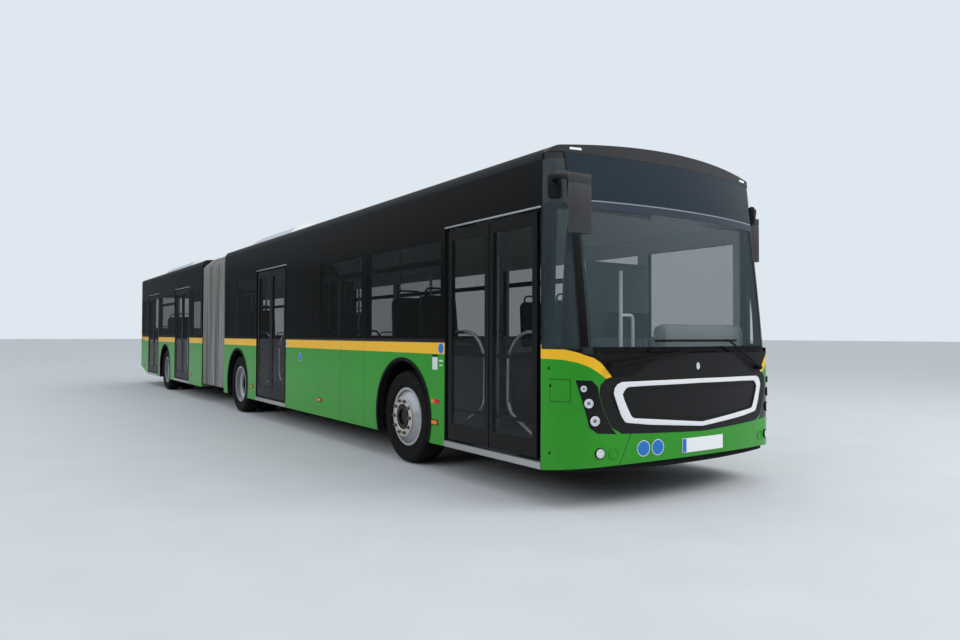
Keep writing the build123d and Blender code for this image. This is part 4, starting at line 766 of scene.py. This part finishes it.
def screen_x(y, z):
    """Where the windscreen's outer face lies; it leans back and its corners tighten upwards."""
    share = (z - SCREEN_Z) / 1.62
    lean = 0.030 + 0.135 * (z - SCREEN_Z)
    corner_r = CORNER_R - 0.200 * share
    corner_y = 1.275 - corner_r
    front = NOSE_X - lean
    corner_x = front - NOSE_R + sqrt((NOSE_R - corner_r) ** 2 - corner_y ** 2)
    edge_y = corner_y * NOSE_R / (NOSE_R - corner_r)
    if abs(y) < edge_y:
        return front - NOSE_R + sqrt(NOSE_R ** 2 - y ** 2)
    return corner_x + sqrt(max(0.0, corner_r ** 2 - (abs(y) - corner_y) ** 2))


# printed black border of the windscreen, and the blank sign behind its top with a bright lower edge
WHOLE = (-SCREEN_HALF, SCREEN_HALF)
band_slate = finish("band_slate", (30, 42, 56), 0.15)
line_grey = finish("line_grey", (128, 136, 150), 0.3)
patch("screen_border_low", screen_x, WHOLE, (SCREEN_Z + 0.001, SCREEN_Z + 0.055), 0.0015, gloss_black)
patch("screen_border_high", screen_x, WHOLE, (BORDER_TOP_Z, BAND_TOP_Z), 0.0015, band_slate)
patch("screen_line", screen_x, WHOLE, (BAND_TOP_Z, LINE_TOP_Z), 0.0018, line_grey)
for side, way in SIDES:
    wide, high = (way * SCREEN_HALF, way * 1.085), (SCREEN_Z + 0.055, BORDER_TOP_Z)
    patch(f"screen_border_{side}", screen_x, wide, high, 0.0015, gloss_black, (3, 20))
sign_face = finish("sign_face", (18, 34, 44), 0.15, (20, 0.05, 0.0), specular=0.3)
patch("sign_display", screen_x, WHOLE, (LINE_TOP_Z, 2.750), 0.0015, sign_face)
# roof marker lamps: two clear lenses on the cap's front edge
marker_lens = finish("roof_lens", (245, 245, 240), 0.2, (200, 0.03, 0.1))
for side, way in SIDES:
    ends = (way * 1.000, way * 1.100)
    patch(f"roof_marker_{side}", screen_x, ends, (2.778, 2.796), 0.006, marker_lens, (6, 2), 0.010)

# Side glass: dark tinted panes bonded edge to edge, printed black outside the window openings.
# The small panes beside the windscreen end under the grey corner of the cap.
# openings whose panes tilt at the top: rear and front end, side
WINDOWS = {
    "right_1": (5.338, 6.937, -1), "right_2": (3.943, 5.190, -1), "right_3": (-0.467, 1.227, -1),
    "left_1": (-0.467, 1.215, 1), "left_2": (1.363, 2.915, 1), "left_3": (3.063, 4.415, 1),
    "left_4": (4.563, 5.915, 1), "left_5": (6.063, 7.115, 1),
    "rear_right_1": (-6.417, -4.743, -1), "rear_right_2": (-3.172, -2.253, -1),
    "rear_left_1": (-6.895, -5.585, 1), "rear_left_2": (-5.437, -3.935, 1),
    "rear_left_3": (-3.787, -2.253, 1),
}
# openings whose panes don't tilt: the driver's window and the last one on the right
FIXED_PANES = [(7.263, 8.369, 1), (-8.687, -7.923, -1)]
WINDOW_LOW_Z = 1.310
WINDOW_HIGH_Z = 2.230
TAIL_PANE_X = -8.9
side_glass = finish("side_glass", (16, 19, 19), 0.03, (2, 0.06, 0.0), specular=0.35)
tree, do, sockets, colours, (along, sideways, height) = open_up(side_glass)
opened = []
for x0, x1, side in [*WINDOWS.values(), *FIXED_PANES]:
    inside = do("COMPARE", along, (x0 + x1) / 2, (x1 - x0) / 2)
    opened.append(do("MULTIPLY", inside, do("GREATER_THAN", do("MULTIPLY", sideways, float(side)), 0.0)))
middle_z, half_z = (WINDOW_LOW_Z + WINDOW_HIGH_Z) / 2, (WINDOW_HIGH_Z - WINDOW_LOW_Z) / 2
opened = do("MULTIPLY", any_of(tree, opened), do("COMPARE", height, middle_z, half_z))
opened = do("MAXIMUM", opened, do("LESS_THAN", along, TAIL_PANE_X))
tree.links.new(mix(tree, opened, (11, 12, 13), colours), sockets["Base Color"])
tree.links.new(do("SUBTRACT", 1.0, do("MULTIPLY", opened, 0.60)), sockets["Alpha"])
tree.links.new(do("ADD", 0.16, do("MULTIPLY", opened, 0.19)), sockets["Specular IOR Level"])
for name in ("front_side_glass", "rear_glass"):
    paint(nodes[name], side_glass)
corner_glass = finish("corner_glass", (30, 36, 36), 0.10, (2, 0.06, 0.0))
tree, do, sockets, colours, (along, sideways, height) = open_up(corner_glass)
moulded = do("GREATER_THAN", height, 2.355)
tree.links.new(mix(tree, moulded, colours, (40, 39, 39)), sockets["Base Color"])
tree.links.new(do("ADD", 0.26, do("MULTIPLY", moulded, 0.74)), sockets["Alpha"])
tree.links.new(do("ADD", 0.05, do("MULTIPLY", moulded, 0.55)), sockets["Roughness"])
paint_faces(nodes["front_side_glass"], corner_glass, lambda c, n: c.x > 8.445)

# Tilting top panes: each has a slim black bar across the window, with a recessed latch.
for name, (x0, x1, side) in WINDOWS.items():
    middle = (x0 + x1) / 2
    bar = block("bar", (x0, side * 1.247, 1.990), (x1, side * 1.2688, 2.055), gloss_black, None, 0.004)
    low, high = (middle - 0.05, side * 1.232, 2.000), (middle + 0.05, side * 1.249, 2.045)
    latch = block("latch", low, high, gloss_black, None, 0.004)
    join(f"hopper_bar_{name}", [bar, latch], section_of(middle))

# Underframe: welded steel members with black under-coat, and the turntable with its two rings.
steel = finish("chassis_paint", (38, 39, 40), 0.55, (25, 0.2, 0.15))
UNDER = ("front_underframe", "rear_underframe", "front_axles", "rear_axle", "knuckle_left", "knuckle_right")
for name in UNDER:
    paint(nodes[name], steel)

# Bellows: pale grey coated fabric, sewn in deep folds on aluminium hoops, between the two sections.
# It is open below. Black frames bolt it to the two sections.
FOLDS = 22
FOLD_DEPTH = 0.050
BELLOWS_X = (-2.1747, -0.5450)
# half outline of a hoop from its foot up: y and z of its outer edge, and how they move per metre set in
HOOD = [
    (1.255, 0.350, -1, 0), (1.255, 2.640, -1, -0.414), (1.085, 2.810, -0.414, -1), (0.0, 2.810, 0, -1),
]
bellows_cloth_fold_shade = finish("bellows_cloth_fold_shade", (150, 149, 148), 0.6, (700, 0.08, 0.2))
# pale and dark streaks run down the folds: painted light and shade for their crests and valleys
tree = bellows_cloth_fold_shade.node_tree
squeeze = node(tree, "Mapping", Scale=(1.0, 0.03, 0.03))
tree.links.new(node(tree, "TexCoord").outputs["Object"], squeeze.inputs["Vector"])
fold_shade_streak = node(tree, "TexNoise", Scale=13, Detail=3)
tree.links.new(squeeze.outputs["Vector"], fold_shade_streak.inputs["Vector"])
spread = node(tree, "MapRange", From_Min=0.35, From_Max=0.65)
tree.links.new(fold_shade_streak.outputs["Fac"], spread.inputs["Value"])
# the cloth takes the painted light and shade of the folds in vertical bands
cloth_with_fold_shade = mix(tree, spread.outputs["Result"], (96, 95, 93), tree.nodes["colours"].outputs["Color"])
tree.links.new(cloth_with_fold_shade, tree.nodes["Principled BSDF"].inputs["Base Color"])


def hood_sheet(name, columns, material, thickness):
    """Sheet over the whole hood; columns gives x and depth set in, from the rear to the front."""
    half = []
    for start, end in zip(HOOD, HOOD[1:]):
        steps = 10 if abs(end[1] - start[1]) > 1 else 4
        half += [between(start, end, index / steps) for index in range(steps)]
    rows = half + HOOD[-1:] + [(-y, z, -a, b) for y, z, a, b in reversed(half)]

    def on_hood(u, v):
        x, inset = columns[round(u * (len(columns) - 1))]
        y, z, in_y, in_z = rows[round(v * (len(rows) - 1))]
        return x, y + inset * in_y, z + inset * in_z

    sheet = grid(name, len(columns) - 1, len(rows) - 1, on_hood)
    face_outwards()
    top = max(sheet.data.polygons, key=lambda face: face.center.z)
    if top.normal.z < 0:
        sheet.data.flip_normals()
    thicken(sheet, thickness)
    smooth(50)
    paint(sheet, material)
    return sheet


# rounded crests and valleys, eight steps a fold
WAVE = [0.0, 0.10, 0.50, 0.90, 1.0, 0.90, 0.50, 0.10]
count = FOLDS * len(WAVE)
step = (BELLOWS_X[1] - BELLOWS_X[0]) / count
columns = [(BELLOWS_X[0] + step * index, FOLD_DEPTH * WAVE[index % len(WAVE)]) for index in range(count + 1)]
bellows = hood_sheet("bellows_folds", columns, bellows_cloth_fold_shade, 0.006)
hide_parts("bellows")
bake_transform(bellows)
for name, x, body in (("rear", -2.190, "rear_section"), ("front", -0.530, "front_section")):
    ring = hood_sheet(f"bellows_frame_{name}", [(x, -0.006), (x, 0.022), (x, 0.055)], gloss_black, 0.018)
    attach(ring, body)

# Tail: rounded panel painted as the walls, black round its window, with round lamps on its corners.
# Behind the flap on its left the radiator breathes through a black slatted grille.
tail_black = finish("tail_black", (16, 16, 17), 0.25, (8, 0.05, 0.01))
paint(nodes["tail_panel"], body_paint, (tail_black, lambda c, n: c.z > 1.45),
      (lining, lambda c, n: n.x > 0.4 and c.x > -9.12), (roof_paint, lambda c, n: c.z > 2.72),
      (panel_black, lambda c, n: 0.325 < c.y < 0.825 and 0.795 < c.z < 1.295))
paint(nodes["tail_lamps"], red_lens, (amber, lambda c, n: c.z > 1.12))

# Engine: one cast block with its ancillaries, closed off by the rear cabinet.
iron = finish("engine_iron", (92, 92, 90), 0.6, (30, 0.25, 0.4), metallic=0.3)
paint(nodes["engine"], iron)

# Wheels: pressed steel discs in silver paint on welded rims, with ten cone nuts each through a bright
# cover ring. The hub inside the ring is dark, and the twin wheels show their dished side.
wheel_silver = finish("wheel_silver", (176, 178, 182), 0.36, (45, 0.10, 0.06), metallic=0.55)
ring_steel = finish("ring_steel", (206, 200, 192), 0.3, (80, 0.08, 0.06), metallic=0.6)
zinc = finish("nut_zinc", (120, 116, 110), 0.35, (300, 0.12, 0.1), metallic=0.9)
HUB_Z = 0.478
HUB_DARK_R = 0.131
NUT_R = 0.1675
NUTS = 10
# nut, washer and stud: corners, radius, depth and how far the middle stands off the disc
NUT_STACK = ((6, 0.016, 0.022, 0.020), (16, 0.020, 0.005, 0.0115), (12, 0.0085, 0.030, 0.026))
DISC_Y = {"1": 1.2625, "2": 0.9375, "3": 0.9375}
# closed profile of the cover ring: radius, and how far it stands off the disc
COVER_RING = [(0.133, 0.0), (0.133, 0.006), (0.137, 0.009), (0.198, 0.009), (0.203, 0.006), (0.203, 0.0)]


def turned(name, profile, steps, material):
    """Ring turned about the y axis from a closed profile of (radius, offset)."""
    bpy.ops.mesh.primitive_circle_add(vertices=len(profile), radius=1)
    ring = named(name)
    for vertex, (radius, offset) in zip(ring.data.vertices, profile):
        vertex.co = (radius, offset, 0)
    edit()
    bpy.ops.mesh.spin(steps=steps, angle=2 * pi, center=(0, 0, 0), axis=(0, 1, 0))
    face_outwards(0.0002)
    paint(ring, material)
    return ring


def wheel_paint(axle_x):
    """Silver paint with the dark hub round an axle."""
    material = wheel_silver.copy()
    tree, do, sockets, colours, (along, sideways, height) = open_up(material)
    off_x = do("POWER", do("SUBTRACT", along, axle_x), 2.0)
    off_z = do("POWER", do("SUBTRACT", height, HUB_Z), 2.0)
    hub = do("LESS_THAN", do("ADD", off_x, off_z), HUB_DARK_R ** 2)
    tree.links.new(mix(tree, hub, colours, (24, 23, 22)), sockets["Base Color"])
    return material


for number, axle_x in AXLES.items():
    silver = wheel_paint(axle_x)
    for side, way in SIDES:
        paint(nodes[f"rim_{number}_{side}"], silver)
        face_y = DISC_Y[number]
        stack = []
        for index in range(NUTS):
            angle = 2 * pi * index / NUTS
            x, z = axle_x + NUT_R * cos(angle), HUB_Z + NUT_R * sin(angle)
            stack += [rod(corners, radius, depth, (x, way * (face_y + proud), z))
                      for corners, radius, depth, proud in NUT_STACK]
        nuts = join("nuts", stack)
        soften(nuts, 0.0012, 1)
        paint(nuts, zinc)
        profile = [(radius, way * (face_y + proud)) for radius, proud in COVER_RING]
        ring = turned("cover", profile, 64, ring_steel)
        ring.location = (axle_x, 0, HUB_Z)
        settle(ring)
        smooth()
        join(f"wheel_nuts_{number}_{side}", [nuts, ring], f"wheel_{number}_{side}")

# Tyres: radial rubber tyres with ribbed treads, shoulder blocks and ringed sidewalls.
# Each replaces the plain faceted ring on the same rim.
tyre_rubber = finish("tyre_rubber", (17, 16, 16), 0.85, (60, 0.18, 0.15), specular=0.2)
# half profile of the tyre from the bead to the tread's middle: (radius, distance from the middle)
TYRE_PROFILE = [
    (0.2865, 0.099), (0.300, 0.112), (0.318, 0.121), (0.334, 0.127), (0.336, 0.130), (0.344, 0.130),
    (0.346, 0.1275), (0.372, 0.1345), (0.400, 0.1375), (0.424, 0.136), (0.427, 0.1375), (0.434, 0.136),
    (0.446, 0.131), (0.460, 0.124), (0.470, 0.117), (0.4755, 0.106), (0.4765, 0.084), (0.466, 0.083),
    (0.466, 0.074), (0.477, 0.073), (0.4775, 0.036), (0.466, 0.035), (0.466, 0.026), (0.4775, 0.025),
    (0.478, 0.0),
]
SLICES = 96
SHOULDER_Y = 0.084
SHOULDER_R = 0.4645
outline = TYRE_PROFILE + [(r, -w) for r, w in reversed(TYRE_PROFILE[:-1])]
model_tyre = turned("model_tyre", outline, SLICES, tyre_rubber)
# every other slice of the shoulder ribs is sunk, which makes the shoulder blocks
edit("DESELECT")
leave_edit()
for face in model_tyre.data.polygons:
    turn = int((atan2(face.center.z, face.center.x) % (2 * pi)) / (2 * pi / SLICES))
    face.select = abs(face.center.y) > SHOULDER_Y and face.center.xz.length > SHOULDER_R and turn % 2 == 0
edit(None)
bpy.ops.mesh.inset(thickness=0.0045, use_individual=False)
bpy.ops.transform.shrink_fatten(value=-0.008)
leave_edit()
smooth(32)
WHEEL_Y = {"1": [1.100], "2": [1.100, 0.775], "3": [1.100, 0.775]}
for number, axle_x in AXLES.items():
    for side, way in SIDES:
        rings = []
        for wheel_y in WHEEL_Y[number]:
            only(model_tyre)
            bpy.ops.object.duplicate()
            ring = bpy.context.object
            ring.location = (axle_x, way * wheel_y, HUB_Z)
            settle(ring)
            rings.append(ring)
        tyre = join(f"tyre_tread_{number}_{side}", rings, f"wheel_{number}_{side}")
        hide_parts(f"tyre_{number}_{side}")
bpy.data.objects.remove(model_tyre)

# Doors: black aluminium leaf frames round tinted panes, with steel grab rails inside.
# Rubber finger guards close the gap between the two leaves, and dark steel columns carry them.
leaf_black = finish("leaf_black", (10, 10, 10), 0.4, (200, 0.08, 0.04), specular=0.2)
pole_steel = finish("pole_steel", (196, 198, 200), 0.24, (260, 0.05, 0.05), metallic=0.9)
door_glass = finish("door_glass", (18, 20, 20), 0.03, (2, 0.05, 0.0), specular=0.35)
see_through(door_glass, 0.27)
LEAF_Y = -1.268
LEAF_RIM = 0.0595           # width of the leaf's frame beside the pane
for name, (rear, front) in PORTALS.items():
    for half, way in (("rear", 1), ("front", -1)):
        leaf = nodes[f"{name}_{half}_leaf"]
        paint(nodes[f"{name}_{half}_column"], steel)
        low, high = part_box(leaf.name)
        paint(leaf, leaf_black, (door_glass, lambda c, n: LEAF_Y + 0.0035 < c.y < LEAF_Y + 0.0095
                                 and 0.499 < c.z < 2.201 and low.x + LEAF_RIM < c.x < high.x - LEAF_RIM),
              (pole_steel, lambda c, n: c.y > LEAF_Y + 0.0365 and 0.44 < c.z < 1.37))
        meeting = high.x if half == "rear" else low.x
        low, high = (meeting, LEAF_Y + 0.006, 0.362), (meeting + way * 0.0052, LEAF_Y + 0.030, 2.297)
        block(f"{name}_{half}_guard", low, high, rubber, f"{name}_{half}_leaf", 0.002)

# Saloon: steel poles and door tracks, moulded seats, and the driver's place.
for name in ("front_rails", "rear_rails"):
    paint(nodes[name], pole_steel)
seat_shell = finish("seat_shell", (38, 39, 42), 0.5, (300, 0.1, 0.12))
for name in ("front_seats", "rear_seats"):
    paint(nodes[name], seat_shell)
dash_grey = finish("dash_grey", (132, 140, 141), 0.62, (350, 0.1, 0.1))
cab_grey = finish("cab_grey", (92, 97, 101), 0.5, (200, 0.05, 0.05))
cab_black = finish("cab_black", (20, 20, 22), 0.55, (320, 0.1, 0.1))
seat_cloth = finish("driver_cloth", (36, 40, 50), 0.9, (500, 0.2, 0.3))
# cab wall and door, then the driver's seat, then the steering wheel
paint(nodes["driver_station"], dash_grey,
      (cab_grey, lambda c, n: c.x < 7.28 or (c.x < 8.07 and c.y < 0.34)),
      (seat_cloth, lambda c, n: 7.42 < c.x < 8.00 and 0.43 < c.y < 0.95 and c.z > 0.75),
      (cab_black, lambda c, n: 7.98 < c.x < 8.43 and 0.45 < c.y < 0.93 and c.z > 0.935))


def arm_tube(name, points, radius, material):
    """Round arm along a route, with rounded bends."""
    curve = bpy.data.curves.new(name, "CURVE")
    curve.dimensions = "3D"
    line = curve.splines.new("NURBS")
    line.points.add(len(points) - 1)
    for point, spot in zip(line.points, points):
        point.co = (*spot, 1)
    line.order_u = 3
    line.use_endpoint_u = True
    line.resolution_u = 8
    curve.bevel_depth = radius
    curve.bevel_resolution = 4
    curve.use_fill_caps = True
    tube = bpy.data.objects.new(name, curve)
    bpy.context.collection.objects.link(tube)
    only(tube)
    bpy.ops.object.convert(target="MESH")
    paint(tube, material)
    return bpy.context.object


# moulded hood over the instruments, and the white rail at the dashboard's inner end
block("instrument_hood", (8.42, -0.02, 1.06), (8.60, 1.09, 1.425), dash_grey, "front_section", 0.07)
rail_white = finish("rail_white", (214, 220, 220), 0.3, (120, 0.03, 0.02))
RAIL_X = 8.262
UPRIGHT = [(-0.222, 1.00), (-0.222, 1.45), (-0.222, 1.895)]
LOOP = [(-0.222, 1.50), (-0.13, 1.505), (-0.075, 1.50), (-0.07, 1.42), (-0.07, 1.00)]
rails = [arm_tube(name, [(RAIL_X, y, z) for y, z in route], radius, rail_white)
         for name, route, radius in (("rail", UPRIGHT, 0.017), ("loop", LOOP, 0.015))]
join("cab_rail", rails, "front_section")

# Mirrors: black moulded shells with a seam round them, on stout arms from feet screwed to the cap's
# corners. The glass is set in their rear faces. The right one stands forward, clear of the door.
mirror_black = finish("mirror_black", (50, 50, 53), 0.45, (380, 0.08, 0.12))
arm_black = finish("arm_black", (12, 12, 13), 0.4, (380, 0.08, 0.08), specular=0.25)
mirror_glass = finish("mirror_glass", (210, 215, 220), 0.03, (2, 0.02, 0.0), metallic=1.0)
MIRROR_Z = (2.050, 2.478)
MIRROR_OUT_Y = 1.445
SEAM_Z = 2.409
# parts of a shell from below: lower and upper edge, how far it is set in, edge radius
SHELL = [
    (MIRROR_Z[0], SEAM_Z - 0.002, 0, 0.010), (SEAM_Z - 0.004, SEAM_Z + 0.004, 0.004, 0.001),
    (SEAM_Z + 0.002, MIRROR_Z[1], 0, 0.010),
]
ARM_FOOT = (8.560, 1.235, 2.530)
# side, front and rear faces of the head, its inner |y|, and the arm's run after its foot
MIRRORS = [
    (-1, 9.005, 8.947, 1.265, [(8.640, 1.300, 2.545), (8.840, 1.370, 2.500), (8.965, 1.380, 2.430)]),
    (1, 8.510, 8.440, 1.290, [(8.545, 1.300, 2.545), (8.490, 1.360, 2.500), (8.475, 1.370, 2.430)]),
]
FOOT_PLACE = (8.551, 1.226)
FOOT_TURN = 0.838
heads = []
for way, front, rear, inner, route in MIRRORS:
    for z0, z1, set_in, bevel in SHELL:
        low = (rear + set_in, way * (inner + set_in), z0)
        high = (front - set_in, way * (MIRROR_OUT_Y - set_in), z1)
        heads.append(block("shell", low, high, mirror_black, None, bevel))
    heads.append(arm_tube("arm", [(x, way * y, z) for x, y, z in [ARM_FOOT, *route]], 0.032, arm_black))
    foot = block("foot", (-0.010, -0.055, 2.385), (0.038, 0.055, 2.565), arm_black, None, 0.018)
    foot.rotation_euler = (0, 0, way * FOOT_TURN)
    foot.location = (FOOT_PLACE[0], way * FOOT_PLACE[1], 0)
    settle(foot)
    heads.append(foot)
    low = (rear - 0.0015, way * (inner + 0.014), 2.068)
    high = (rear + 0.002, way * (MIRROR_OUT_Y - 0.014), 2.395)
    heads.append(block("pane", low, high, mirror_glass, None, 0.001))
mirrors = join("mirror_shells", heads, "front_section")
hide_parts("mirrors")

# Wipers: black sprung arms with long blades, one from each corner of the screen's foot.
paint(nodes["wipers"], rubber)

# Roof units: pale moulded covers over the cooling and heating sets, screwed down along their edges.
# The front end of each is white and the rest silver grey, with dark fans in the round recesses.
cover_grey = finish("cover_grey", (176, 182, 191), 0.34, (25, 0.04, 0.03))
# white ends: middle and half length along the bus
WHITE_ENDS = ((2.15, 0.55), (-4.45, 0.65))
tree, do, sockets, colours, (along, sideways, height) = open_up(cover_grey)
ends = any_of(tree, [do("COMPARE", along, middle, half) for middle, half in WHITE_ENDS])
tree.links.new(mix(tree, ends, colours, (238, 239, 238)), sockets["Base Color"])
# x of the fans in each unit, which sit in pairs
FANS = {"front_air_unit": (0.485, 1.085, 1.685), "rear_air_unit": (-7.115, -6.515, -5.915)}
FAN_Y, FAN_R, FAN_TOP_Z = 0.42, 0.232, 3.046
for name, fans in FANS.items():
    paint(nodes[name], cover_grey, (panel_black, lambda c, n: c.z < FAN_TOP_Z and any(
        hypot(c.x - x, abs(c.y) - FAN_Y) < FAN_R for x in fans)))
